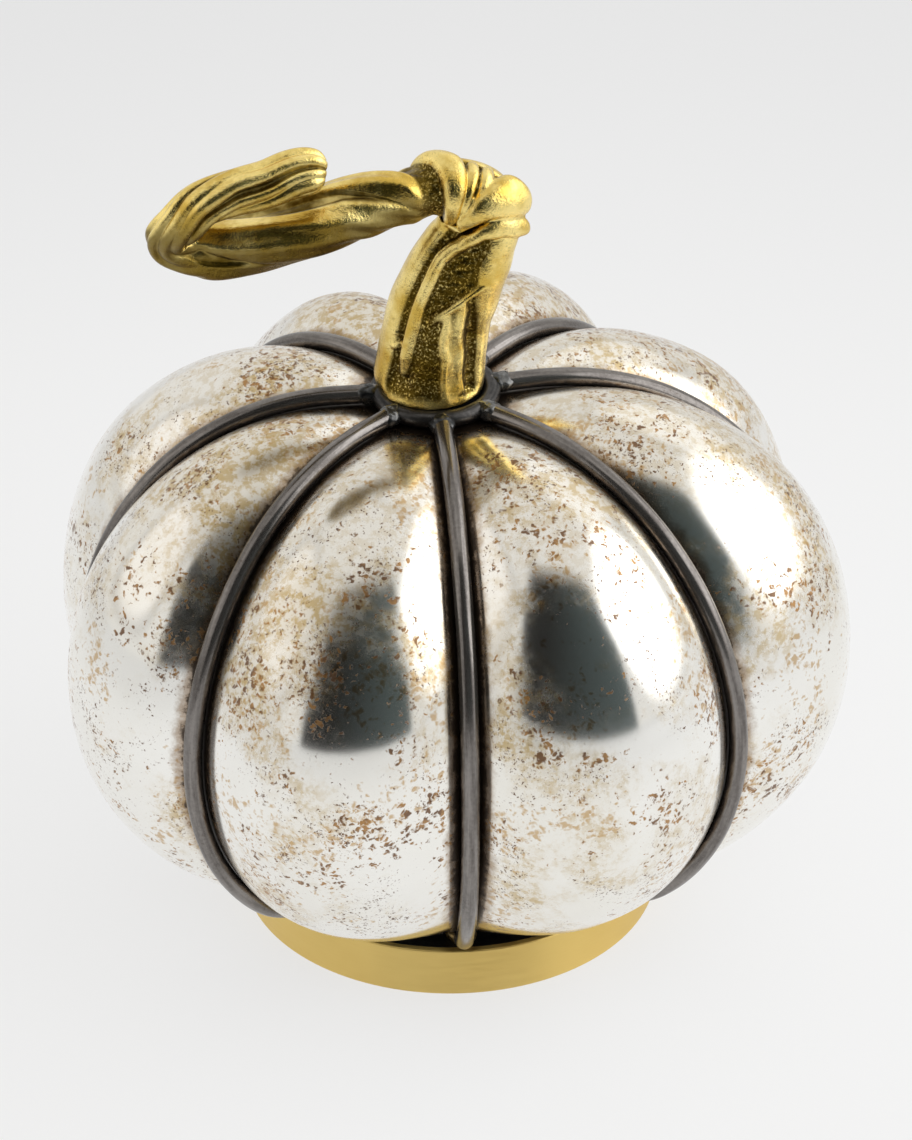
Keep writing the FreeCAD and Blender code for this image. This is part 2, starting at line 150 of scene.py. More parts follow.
def join_pieces(name, pieces):
    """One piece out of several meshes."""
    with bpy.context.temp_override(active_object=pieces[0], selected_editable_objects=pieces):
        bpy.ops.object.join()
    pieces[0].name = name
    pieces[0].data.name = name
    return pieces[0]


def settle(piece, slot, *nodes):
    """The piece rides on the body and stands for the design's nodes, which it hides; the slot is not used."""
    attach(piece, BODY)
    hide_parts(*nodes)
    piece.data.calc_loop_triangles()
    print(f"{piece.name}: {len(piece.data.loop_triangles)} triangles")
    return piece


def unit(vectors):
    """The same directions with a length of 1."""
    return vectors / np.maximum(np.linalg.norm(vectors, axis=-1, keepdims=True), 1e-9)


def smooth_step(values, low, high):
    """0 below `low`, 1 above `high`, and 3t^2 - 2t^3 between them."""
    share = np.clip((values - low) / (high - low), 0.0, 1.0)
    return share * share * (3 - 2 * share)


# %% [markdown]
# ## Waves without chance
# Handmade things are never quite true. Chance would have to be seeded, so the unevenness here is a sum of a
# few sine waves in different directions: it never repeats over the size of the piece, and is the same at
# every run.

# %% Waves
GOLDEN_ANGLE = 2.39996


def waves(points, length, seed, count=6):
    """Sum of sine waves of about the given length in spread-out directions, scaled to about -1 .. 1.

    Wave k runs along a direction turned by the golden angle, with a length between 0.7 and 1.4 of `length`.
    """
    total = np.zeros(points.shape[:-1])
    for k in range(count):
        turn = GOLDEN_ANGLE * (k + 1) + seed
        tilt = math.cos(1.7 * k + seed * 0.61)
        flat = math.sqrt(1 - tilt * tilt)
        direction = np.array([math.cos(turn) * flat, math.sin(turn) * flat, tilt])
        stretch = 0.7 + 0.7 * ((k * 0.618 + seed * 0.37) % 1.0)
        total += np.sin(points @ direction * (2 * math.pi / (length * stretch)) + seed * 3.1 + k * 1.3)
    return total / math.sqrt(count)


# %% [markdown]
# ## The line of a wire
# On the bench the wires are bent round a wooden former: level out of the collar, over the shoulder, round
# the belly and in again under the glass. That line is a level run and four arcs. It is worked out here by
# its length, so that a wire, and the groove that the glass keeps for it, share one line.

# %% The wires' line
def level_ray(bearing):
    """The level direction at a bearing in degrees: 0 is to the right, -90 to the front."""
    return np.array([math.cos(math.radians(bearing)), math.sin(math.radians(bearing)), 0.0])


def oval_arcs(wide, tall):
    """Radii of the two arcs, sharing a tangent at 45 degrees, that make a quarter of a flattened circle."""
    spread = (wide - tall) / (math.sqrt(2) - 1)
    return tall + spread * math.sqrt(0.5), wide - spread * math.sqrt(0.5)


def wire_line(name, start_r, count):
    """Points, outward normals and headings along one rib, at equal steps of length.

    Above the belly the line lies in the upright plane through the collar's centre, below it in the upright
    plane through the axis. In each plane it is given by its distance out and its height.
    """
    bearing, swell = RIBS[name]
    radial = level_ray(bearing)
    belly = radial * (BELLY_R + swell)
    out = belly - COLLAR_C
    reach = np.linalg.norm(out)
    out = out / reach
    top_r, side_r = oval_arcs(reach - SHOULDER, CROWN_Z - BELLY_Z)
    low_end_r, low_side_r = oval_arcs(BELLY_R + swell - FOOT_R, BELLY_Z - FOOT_Z)
    eighth = math.pi / 4
    stretches = [SHOULDER - start_r, top_r * eighth, side_r * eighth, low_side_r * eighth, low_end_r * eighth]
    edges = np.concatenate([[0], np.cumsum(stretches)])
    at = np.linspace(0, edges[-1], count)
    turn = np.interp(at, edges, [0, 0, eighth, 2 * eighth, 3 * eighth, 4 * eighth])
    s, c = np.sin(turn), np.cos(turn)
    before = [at <= edge for edge in edges[1:5]]
    wide = np.select(
        before,
        [start_r + at, SHOULDER + top_r * s, reach - side_r + side_r * s,
         BELLY_R + swell - low_side_r + low_side_r * s], FOOT_R + low_end_r * s)
    high = np.select(
        before,
        [CROWN_Z + 0 * at, CROWN_Z - top_r + top_r * c, BELLY_Z + side_r * c, BELLY_Z + low_side_r * c],
        FOOT_Z + low_end_r + low_end_r * c)
    upper = (at <= edges[3])[:, None]
    flat = np.where(upper, out, radial)
    origin = np.where(upper, COLLAR_C, 0.0)
    points = origin + flat * wide[:, None] + UP * high[:, None]
    normals = flat * s[:, None] + UP * c[:, None]
    headings = flat * c[:, None] - UP * s[:, None]
    return points, normals, headings, edges[-1]


line, _, _, length = wire_line("rib_front", COLLAR_R, 5)
print("front wire", round(length, 1), "mm, foot at", line[-1].round(1))

# %% [markdown]
# ## The glass
# The gather is blown inside the cage until it swells out between the wires. Between two wires a section of
# the bubble is close to an arc of a circle; at each wire it turns inward and lies round the wire in a
# narrow groove. A lobe rises from nothing at the neck, is fullest a little below the middle, and dies away
# at the foot. Subdividing a sphere would never give that crease, so the surface is worked out section by
# section. It turns in at the neck and at the drain hole and comes back as an inner skin, so it is a closed
# shell of glass with a wall, as the real one is.

# %% The glass: one section
BED_R = WIRE_R + CLEAR    # radius of the groove that the glass keeps for a wire
DESIGN_BED = WIRE_R + 0.65
LOBE_BULGE = 18.2         # how far the fullest lobe stands out past the line between its wires
LOBE_PEAK = 0.54          # where a lobe is fullest, as a share of the wires' length
LOBE_SCALE = (0.0, 0.1, -0.12, 0.2, 0.0, 0.08, -0.12, -0.06)      # each lobe's own share more or less
ARC_COLUMNS = 37
GROOVE_COLUMNS = 7


def lobe_height(along):
    """Height of a lobe over the line between its wires: a cosine hump, steeper below its peak."""
    above = np.cos(math.pi / 2 * (LOBE_PEAK - along) / LOBE_PEAK)
    below = np.cos(math.pi / 2 * (along - LOBE_PEAK) / (1 - LOBE_PEAK))
    hump = np.where(along < LOBE_PEAK, np.abs(above) ** 1.5, np.abs(below) ** 1.1)
    return (LOBE_BULGE + DESIGN_BED) * hump


def lobe_columns(a, b, normal_a, normal_b, rise):
    """Points across one lobe: an arc through both wires' lines, drawn in by the groove's radius.

    The arc's columns crowd towards its ends, where it turns in beside the wires. Returns the points and
    the direction in which the arc leaves each wire's centre.
    """
    across = b - a
    chord = np.linalg.norm(across, axis=1)
    across = across / chord[:, None]
    out = normal_a + normal_b
    out = unit(out - across * np.sum(out * across, axis=1, keepdims=True))
    rise = np.maximum(rise, 0.01)
    radius = (chord ** 2 / 4 + rise ** 2) / (2 * rise)
    half = np.arctan2(chord / 2, radius - rise)
    middle = (a + b) / 2 - out * (radius - rise)[:, None]
    u = np.linspace(-1, 1, ARC_COLUMNS)
    angle = half[:, None] * (0.5 * u + 0.5 * np.sin(math.pi * u / 2))
    direction = (across[:, None, :] * np.sin(angle)[..., None] + out[:, None, :] * np.cos(angle)[..., None])
    return middle[:, None, :] + direction * (radius - BED_R)[:, None, None], direction[:, 0], direction[:, -1]


def groove_columns(wire, before, after):
    """Points round the underside of a wire, from the side of one lobe to the side of the next.

    The direction turns evenly from one side to the other; both end points belong to the lobes.
    """
    cosine = np.clip(np.sum(before * after, axis=1), -1, 1)
    whole = np.maximum(np.arccos(cosine), 1e-4)[:, None]
    share = np.linspace(0, 1, GROOVE_COLUMNS + 2)[1:-1]
    start = np.sin((1 - share) * whole) / np.sin(whole)
    end = np.sin(share * whole) / np.sin(whole)
    direction = before[:, None, :] * start[..., None] + after[:, None, :] * end[..., None]
    return wire[:, None, :] - direction * BED_R


# %% [markdown]
# ### The whole shell
# The rows run along the wires from the neck to the feet. Two more sets close the shell: flat rings in the
# floor round the drain hole, and the inner skin, which is the outer one moved in by the wall's thickness.
# Blown glass also waves a little, most of all in the middle of a lobe. Each point also keeps how far it is
# from the nearest wire's surface, with the collar counted in, which places the painted shade beside the
# metal.

# %% The glass: the shell
LINE_ROWS = 132
NECK_START = COLLAR_R - 2.5
NECK_HOLE_R = COLLAR_R - 4.0
DRAIN_HOLE_R = 12.0
FLOOR_R, FLOOR_ROWS = FOOT_R * 0.9, 5
GLASS_WALL = 2.5
INNER_STEP = 3            # the inner skin keeps every third row
LONG_WAVE, LONG_DEPTH = 62.0, 0.45
SHORT_WAVE, SHORT_DEPTH = 27.0, 0.10
COLLAR_SHARE = 0.6        # how much of the way from the collar counts as the way from a wire


def ring_like(row, centre, radius, height):
    """A level ring whose points keep the bearings of another row's points."""
    return unit((row - centre) * LEVEL) * radius + centre * LEVEL + UP * height


def skin_normals(rows):
    """Outward normals of a grid that closes round its columns, from the differences of its neighbours."""
    along = np.gradient(rows, axis=0)
    around = np.roll(rows, -1, axis=1) - np.roll(rows, 1, axis=1)
    return unit(np.cross(along, around))


def glass_shell():
    """The blown body: eight lobes and eight grooves per row, then the floor, then the inner skin."""
    lines = [wire_line(name, NECK_START, LINE_ROWS) for name in RIBS]
    along = np.linspace(0, 1, LINE_ROWS)
    arcs = []
    for here, after, scale in zip(lines, lines[1:] + lines[:1], LOBE_SCALE):
        arcs.append(lobe_columns(here[0], after[0], here[1], after[1], lobe_height(along) * (1 + scale)))
    columns, middles, gaps = [], [], []
    arc_middle = np.cos(np.linspace(-1, 1, ARC_COLUMNS) * math.pi / 2)
    for k, (arc, leaving, _) in enumerate(arcs):
        columns += [groove_columns(lines[k][0], arcs[k - 1][2], leaving), arc]
        to_wires = [np.linalg.norm(arc - lines[i % len(lines)][0][:, None], axis=2) for i in (k, k + 1)]
        gaps += [np.zeros((LINE_ROWS, GROOVE_COLUMNS)), np.minimum(*to_wires) - BED_R]
        middles += [np.zeros(GROOVE_COLUMNS), arc_middle]
    rows = np.concatenate(columns, axis=1)
    middle = np.concatenate(middles)
    outward = skin_normals(rows)
    swell = waves(rows, LONG_WAVE, 1.0) * LONG_DEPTH + waves(rows, SHORT_WAVE, 4.0) * SHORT_DEPTH
    fade = np.sin(math.pi * along)[:, None] * middle[None, :]
    rows = rows + outward * (swell * fade)[..., None]

    neck = ring_like(rows[0], COLLAR_C, NECK_HOLE_R, CROWN_Z - BED_R)
    floor = [ring_like(rows[-1], np.zeros(3), radius, FOOT_Z + BED_R)
             for radius in np.linspace(FLOOR_R, DRAIN_HOLE_R, FLOOR_ROWS)]
    outer = np.concatenate([neck[None], rows, np.array(floor)])
    normals = skin_normals(outer)
    normals[0], normals[-1] = UP, -UP
    inner = (outer - normals * GLASS_WALL)[::-1]
    ends = INNER_STEP, len(inner) - INNER_STEP
    keep = np.concatenate([np.arange(ends[0]), np.arange(*ends, INNER_STEP), np.arange(ends[1], len(inner))])
    # distance from the metal, for the painted shade (and the brown stain) beside the wires and the collar
    from_collar = np.linalg.norm((rows - COLLAR_C)[..., :2], axis=2) - COLLAR_R - WIRE_R
    beside = np.minimum(np.concatenate(gaps, axis=1), COLLAR_SHARE * np.maximum(from_collar, 0))
    beside = np.concatenate([beside[:1], beside, np.tile(beside[-1], (FLOOR_ROWS + len(keep), 1))])
    shell = np.concatenate([outer, inner[keep]])
    return grid_piece("glass_lobes", shell[:, ::-1], closed_rows=True, layers={"beside": beside[:, ::-1]})


glass = settle(glass_shell(), "silvered_glass", "glass_body")

# %% [markdown]
# ## The wires and the collar
# The cage is mild steel wire, bent by hand, so its thickness and its line waver by hundredths of a
# millimetre and a highlight along it is never quite straight. Each wire is a circle carried along its line,
# with a rounded end where it was snipped and dressed. The collar is a ring of the same wire.

# %% Wires and collar
WIRE_STATIONS = 220
COLLAR_STATIONS = 180
WIRE_SIDES = 22
WIRE_DRIFT = 0.06         # how far a wire wanders to each side of its line, for each of two waves
WIRE_DOME = 0.8           # length over which a wire's end is rounded, as a share of its radius


def tube(points, normals, sides, radius):
    """A round bar: at each station a circle of the given radius in the plane of normal and side."""
    angle = np.linspace(0, 2 * math.pi, WIRE_SIDES, endpoint=False)[None, :, None]
    ring = normals[:, None, :] * np.cos(angle) + sides[:, None, :] * np.sin(angle)
    return points[:, None, :] + ring * radius[:, None, None]


def wire(name, order):
    """One rib with a domed lower end; its thickness wavers by a hundredth and it bends a tenth off line."""
    points, normals, headings, length = wire_line(name, COLLAR_R, WIRE_STATIONS)
    sides = unit(np.cross(normals, headings))
    along = np.linspace(0, length, WIRE_STATIONS)
    fade = np.sin(math.pi * np.linspace(0, 1, WIRE_STATIONS))
    drift = np.sin(along / 9.1 + order * 1.7) + np.sin(along / 23.0 + order * 2.9)
    points = points + sides * (WIRE_DRIFT * drift * fade)[:, None]
    radius = WIRE_R * (1 + 0.008 * np.sin(along / 3.7 + order) + 0.010 * np.sin(along / 11.3 + order * 2.3))
    to_end = np.clip((length - along) / (WIRE_R * WIRE_DOME), 0.0, 1.0)
    radius = radius * np.sqrt(np.maximum(1 - (1 - to_end) ** 2, 0.02))
    rings = tube(points, normals, sides, radius)
    layers = {"along": np.tile(along[:, None], (1, WIRE_SIDES))}
    return settle(grid_piece("wire_" + name[4:], rings, caps=True, layers=layers), "wire_steel", name)


def collar():
    """The neck ring: a wire bent round into a ring, a little uneven where it was hammered shut."""
    angle = np.linspace(0, 2 * math.pi, COLLAR_STATIONS, endpoint=False)
    radial = np.stack([np.cos(angle), np.sin(angle), 0 * angle], axis=1)
    up = np.tile(UP, (COLLAR_STATIONS, 1))
    centre = COLLAR_C + radial * COLLAR_R + up * CROWN_Z
    radius = WIRE_R * (1 - 0.012 + 0.012 * np.sin(3 * angle + 0.7))
    layers = {"along": np.tile(angle[:, None] * COLLAR_R, (1, WIRE_SIDES))}
    ring = grid_piece("collar_wire", tube(centre, up, radial, radius), closed_rows=True, layers=layers)
    return settle(ring, "wire_steel", "collar_ring")


wires = [wire(name, order) for order, name in enumerate(RIBS)]
collar_wire = collar()

# %% [markdown]
# ## Welds
# Where a wire meets the collar, a bead of weld was melted over the joint; under the glass the wires' feet
# are brazed to the plate. A bead is a lump that was liquid: round, but pulled along the wire that it wetted,
# sagged on top, and with small swellings.

# %% Welds
WELD_SIZE, BRAZE_SIZE = 3.0, 3.9
WELD_SHIFT = 0.1          # a weld sits this far outside the ring's own wire, and as much below its middle
WELD_DEPTH = 1.6          # how far below the ring's middle a weld reaches
POLE = 0.04               # the angle at which a ball's rows stop and its caps begin


def bead(name, centre, ahead, size, seed, low):
    """A ball of waved radius, stretched along `ahead` and flattened; none of it lies below the height `low`.

    The radius is `size` times 1 + 0.30 a^2 - 0.12 u^2, with a and u the direction's share along `ahead` and
    upwards, times 1 plus two small waves.
    """
    polar = np.linspace(POLE, math.pi - POLE, 26)[:, None]
    turn = np.linspace(0, 2 * math.pi, 40, endpoint=False)[None, :]
    sphere = (ahead * (np.sin(polar) * np.cos(turn))[..., None]
              + np.cross(UP, ahead) * (np.sin(polar) * np.sin(turn))[..., None]
              + UP * (np.cos(polar) * np.ones_like(turn))[..., None])
    stretch = 1 + 0.30 * (np.sin(polar) * np.cos(turn)) ** 2 - 0.12 * np.cos(polar) ** 2
    lump = 1 + 0.07 * waves(sphere, 1.1, seed) + 0.03 * waves(sphere, 0.45, seed + 2)
    points = centre + sphere * (size * stretch * lump * 0.96)[..., None]
    points[..., 2] = np.maximum(points[..., 2], low)
    return grid_piece(name, points[::-1], caps=True)


def welds():
    """A bead on each wire, just outside the collar."""
    beads = []
    for order, rib in enumerate(RIBS):
        points, _, headings, _ = wire_line(rib, COLLAR_R, 2)
        ahead = unit(headings[0] * LEVEL)
        centre = points[0] + ahead * (WIRE_R + WELD_SHIFT) - UP * WELD_SHIFT
        low = CROWN_Z - WELD_DEPTH
        beads.append(bead(f"collar_beads{order}", centre, ahead, WELD_SIZE, order * 1.3, low))
    return join_pieces("collar_beads", beads)


def feet_brazing():
    """Half-sunk beads that hold the wires' feet to the plate."""
    beads = []
    for order, (bearing, _) in enumerate(RIBS.values()):
        ahead = level_ray(bearing)
        centre = ahead * FOOT_R + UP * PLATE_TOP
        beads.append(bead(f"brazing{order}", centre, ahead, BRAZE_SIZE, order * 0.7 + 5, PLATE_TOP))
    return join_pieces("feet_brazing", beads)


collar_beads = settle(welds(), "weld_silver", "collar_welds")
brazing = settle(feet_brazing(), "braze", "foot_welds")

# %% [markdown]
# ## The stalk
# The stalk is cast in brass from a carved wax and then gilded. The carver laid flat straps of wax round a
# core: they run up the trunk, cross over at the sharp bend and twist along the arm to the curl. Between
# them the core was left sunk and stippled, and the gilding colours it darker. The shape is a section carried
# along a line. On the trunk, how far the section stands out at a given bearing is the greatest of the straps
# that pass there; on the arm and the curl it is the greatest of a few equal strands that twist round it.

# %% The stalk's line
STALK_PATH = (            # distance right, back and up from the middle of the collar's top; radius
    (-1.2, 0.0, 0.0, 13.1),
    (-1.2, 0.0, 2.5, 13.6),
    (-0.5, 0.0, 8.5, 13.1),
    (1.7, 0.0, 21.5, 12.4),
    (6.6, 0.0, 33.5, 11.6),
    (10.3, 0.0, 41.5, 10.1),
    (10.9, -0.3, 48.2, 8.8),
    (2.4, -1.0, 53.2, 8.0),
    (-7.0, -2.0, 52.6, 7.1),
    (-17.6, -4.0, 50.9, 7.4),
    (-31.7, -7.0, 47.2, 7.7),
    (-43.4, -8.0, 44.6, 7.6),
    (-52.2, -8.5, 43.8, 7.2),
    (-58.7, -9.5, 45.2, 6.3),
    (-62.6, -12.4, 49.2, 5.5),
    (-60.6, -15.2, 53.4, 5.0),
    (-55.2, -15.6, 58.6, 5.3),
    (-47.7, -14.0, 61.4, 5.6),
    (-39.3, -12.7, 62.4, 5.7),
    (-32.9, -11.4, 64.0, 5.6),
    (-28.8, -10.9, 63.9, 5.3),
    (-26.6, -10.7, 63.2, 4.5),
)
STALK_ROWS, STALK_COLUMNS = 600, 156
SMOOTHING = 11            # how many stations to each side a running average takes in


def stalk_line():
    """Stations along the stalk, evenly spaced by length, with two directions across it and its radius.

    The line is a Hermite curve through the path's points, smoothed by running averages; the directions
    across are carried along without turning about the line.
    """
    path = np.array(STALK_PATH)
    knots = np.concatenate([[0], np.cumsum(np.linalg.norm(np.diff(path[:, :3], axis=0), axis=1))])
    tangents = np.gradient(path, knots, axis=0)
    fine = np.linspace(0, knots[-1], STALK_ROWS)
    k = np.clip(np.searchsorted(knots, fine, side="right") - 1, 0, len(knots) - 2)
    gap = (knots[k + 1] - knots[k])[:, None]
    t = ((fine - knots[k]) / gap[:, 0])[:, None]
    dense = ((2 * t ** 3 - 3 * t ** 2 + 1) * path[k] + (t ** 3 - 2 * t ** 2 + t) * gap * tangents[k]
             + (3 * t ** 2 - 2 * t ** 3) * path[k + 1] + (t ** 3 - t ** 2) * gap * tangents[k + 1])
    window = np.hanning(2 * SMOOTHING + 1)
    window = window / window.sum()
    padded = np.concatenate([2 * dense[0] - dense[SMOOTHING:0:-1], dense,
                             2 * dense[-1] - dense[-2:-SMOOTHING - 2:-1]])
    dense = np.stack([np.convolve(padded[:, i], window, mode="valid") for i in range(4)], axis=1)
    centre = dense[:, :3] + COLLAR_C + UP * COLLAR_TOP
    ahead = unit(np.gradient(centre, axis=0))
    side = np.zeros_like(ahead)
    carried = np.array([1.0, 0.0, 0.0])
    for i in range(STALK_ROWS):
        carried = carried - ahead[i] * carried.dot(ahead[i])
        carried = carried / np.linalg.norm(carried)
        side[i] = carried
    travelled = np.concatenate([[0], np.cumsum(np.linalg.norm(np.diff(centre, axis=0), axis=1))])
    return centre, side, np.cross(ahead, side), dense[:, 3], travelled


line_of_stalk = stalk_line()
print("stalk", round(float(line_of_stalk[-1][-1]), 1), "mm along its line")

# %% [markdown]
# ### Straps round a core
# The surface is thought of as unrolled: how far along the stalk, and at which bearing. A bearing of 0 is to
# the right on the trunk and on top of the arm, 270 faces forwards, 180 is left and under. Each strap is a
# line of a few stations drawn on that sheet, as broad as the carver's tool left it and with round ends; where
# its height grows past 1 it ends in a knob. The list follows the carving from the left edge of the trunk
# rightwards, then the bend.

# %% The stalk's straps
TRUNK_STRAPS = (          # each strap: (distance along, bearing, half width, height) at a few stations
    ((0, 187, 6.0, 0.9), (10, 187, 6.2, 1.0), (20, 186, 6.0, 1.05), (30, 185, 5.6, 1.1),
     (38, 184, 5.0, 1.15), (43, 186, 4.4, 1.2), (46, 190, 3.8, 1.25), (49, 200, 3.3, 1.3),
     (52, 218, 3.2, 1.35), (54, 245, 3.1, 1.4), (53.5, 270, 3.0, 1.45), (53, 290, 2.9, 1.5),
     (52, 312, 2.8, 1.65), (51, 335, 2.6, 2.0), (50.5, 352, 2.5, 2.6)),
    ((8, 230, 2.0, 0.6), (12, 230, 2.2, 0.9), (20, 231, 2.2, 1.0), (29.5, 228, 2.2, 1.0),
     (36.5, 226, 2.2, 1.0), (40.5, 233, 2.2, 1.05), (44.5, 246, 2.3, 1.1), (48, 268, 2.2, 1.1),
     (48.5, 300, 2.1, 1.15), (47.5, 330, 2.0, 1.5), (47, 345, 1.9, 2.0)),
    ((0, 340, 4.0, 0.8), (10, 340, 4.0, 0.9), (20, 337, 4.4, 0.95), (27, 330, 5.4, 1.0),
     (33, 322, 7.0, 1.0), (39, 316, 7.6, 1.0), (43, 318, 6.8, 1.0), (46, 330, 5.0, 1.0)),
    ((35, 296, 1.3, 0.9), (32.5, 287, 1.2, 0.85), (29, 277, 1.3, 0.8), (26, 267, 1.3, 0.7),
     (23, 256, 1.6, 0.5), (20, 247, 1.8, 0.25)),
    ((25, 268, 1.3, 0.6), (21, 272, 1.6, 0.75), (17, 273, 1.3, 0.85), (13, 279, 1.6, 0.75),
     (8.5, 280, 1.3, 0.8), (3, 284, 1.7, 0.6)),
    ((29, 281, 1.2, 0.8), (24, 286, 1.4, 0.7), (19.5, 290, 1.1, 0.85), (15, 297, 1.4, 0.7),
     (10, 297, 1.1, 0.8), (4, 304, 1.6, 0.6)),
    ((27, 283, 3.0, 0.50), (16, 288, 4.2, 0.54), (3, 292, 4.6, 0.50)),
    ((3, 258, 4.5, 0.40), (18, 256, 4.0, 0.36)),
    ((16, 211, 0.6, 0.8), (13.6, 207, 0.6, 0.8), (12.4, 213, 0.6, 0.8), (14.6, 218, 0.6, 0.6)),
    ((0, 52, 5.6, 0.7), (8, 60, 6.6, 0.9), (18, 50, 5.6, 0.8), (30, 68, 7.0, 1.0), (46, 80, 6.0, 0.8)),
    ((0, 18, 2.4, 0.5), (10, 22, 1.8, 0.7), (22, 12, 1.6, 0.8), (34, 26, 2.0, 0.7), (44, 16, 2.4, 0.9)),
    ((0, 126, 5.4, 0.7), (14, 136, 6.2, 0.9), (28, 127, 5.6, 0.8), (46, 150, 5.0, 0.7)),
    ((44, 40, 5.0, 0.9), (52, 45, 5.0, 1.0), (60, 62, 5.0, 0.9)),
    ((48, 100, 4.0, 0.8), (56, 120, 4.0, 0.9), (62, 140, 4.0, 0.8)),
    ((54.4, 296, 0.9, 0.85), (54.3, 335, 1.1, 1.0), (54.0, 368, 1.1, 1.0)),
    ((56.2, 235, 1.0, 0.7), (56.6, 270, 1.1, 0.85), (56.7, 310, 1.2, 0.95), (56.6, 345, 1.2, 1.0),
     (56.6, 372, 1.1, 0.9)),
    ((57.5, 205, 2.2, 0.8), (58.5, 240, 2.4, 1.1), (59.5, 275, 2.5, 1.25), (59.8, 305, 2.6, 1.35),
     (60.2, 335, 2.6, 1.45), (61, 365, 2.7, 1.65), (63, 392, 2.8, 1.65), (65, 430, 2.8, 1.3),
     (67, 470, 2.8, 0.9)),
)
ARM_STRANDS, CURL_STRANDS = 3, 8
ARM_START, ARM_FULL = 63.0, 70.0
ARM_TURN = (              # (distance along, bearing of a strand)
    (62, 286), (66, 312), (72, 350), (85, 405), (115, 450), (140, 480))
CURL_START, CURL_FULL = 116.0, 130.0
CURL_TURN = ((116, 345), (128, 290), (142, 218), (152, 184), (175, 142))
ARM_SWELL, CURL_SWELL = 0.16, 0.20
STRAP_RISE, TRUNK_R = 2.6, 12.0   # how far a strap of height 1 stands out of a trunk of this radius
STRAP_EDGE, STRAND_EDGE = 2.6, 2.0                # 2 is a half circle across; more is squarer
RIDGES, RIDGE_RISE = 9.0, 0.20    # fine ridges on the arm
CASTING_WAVE, CASTING_DEPTH = 9.0, 0.16
FOOT_BLEND = 4.0                  # the length over which the foot is a plain round collar
TIP_BLEND, TIP_PAST = 4.0, 1.6    # the rounded tip: its length, and how far past the last station it closes


def band(away, half, roundness):
    """Rise across a strap: the root of 1 - d^roundness, with d counted from its middle in half widths."""
    d = np.clip(np.abs(away) / half, 0, 1)
    return np.sqrt(np.clip(1 - d ** roundness, 0, 1))


def bearing_gap(bearing, target):
    """Signed difference of bearings, in degrees, the short way round."""
    return (bearing - target + 180) % 360 - 180


def strap(travelled, bearing, degree, stations):
    """Height of one strap over the unrolled surface; `degree` is the length of one degree of bearing there.

    For each stretch between two stations: the nearest point on the stretch is its share of the way, and the
    half width and the height are taken at that share.
    """
    height = np.zeros((len(travelled), len(bearing)))
    for (t0, b0, w0, h0), (t1, b1, w1, h1) in zip(stations[:-1], stations[1:]):
        ahead, round_it = t1 - t0, (b1 - b0) * degree
        x = travelled[:, None] - t0
        y = bearing_gap(bearing[None, :], b0) * degree
        share = np.clip((x * ahead + y * round_it) / (ahead ** 2 + round_it ** 2), 0, 1)
        away = np.hypot(x - share * ahead, y - share * round_it)
        across = band(away, w0 + (w1 - w0) * share, STRAP_EDGE)
        height = np.maximum(height, (h0 + (h1 - h0) * share) * across)
    return height


def strands(travelled, bearing, count, middle, swell):
    """Equal round-topped strands side by side, each swelling and thinning a little along its way."""
    best = np.zeros((len(travelled), len(bearing)))
    spacing = 360 / count
    for k in range(count):
        drift = 0.16 * spacing * np.sin(travelled / 13 + 2 * k)
        half = spacing * (0.52 + 0.10 * np.sin(travelled / 17 + 1.7 * k))
        height = 0.95 + swell * np.sin(travelled / 11 + 2.6 * k)
        away = bearing_gap(bearing[None, :], (middle + spacing * k + drift)[:, None])
        best = np.maximum(best, height[:, None] * band(away, half[:, None], STRAND_EDGE))
    return best


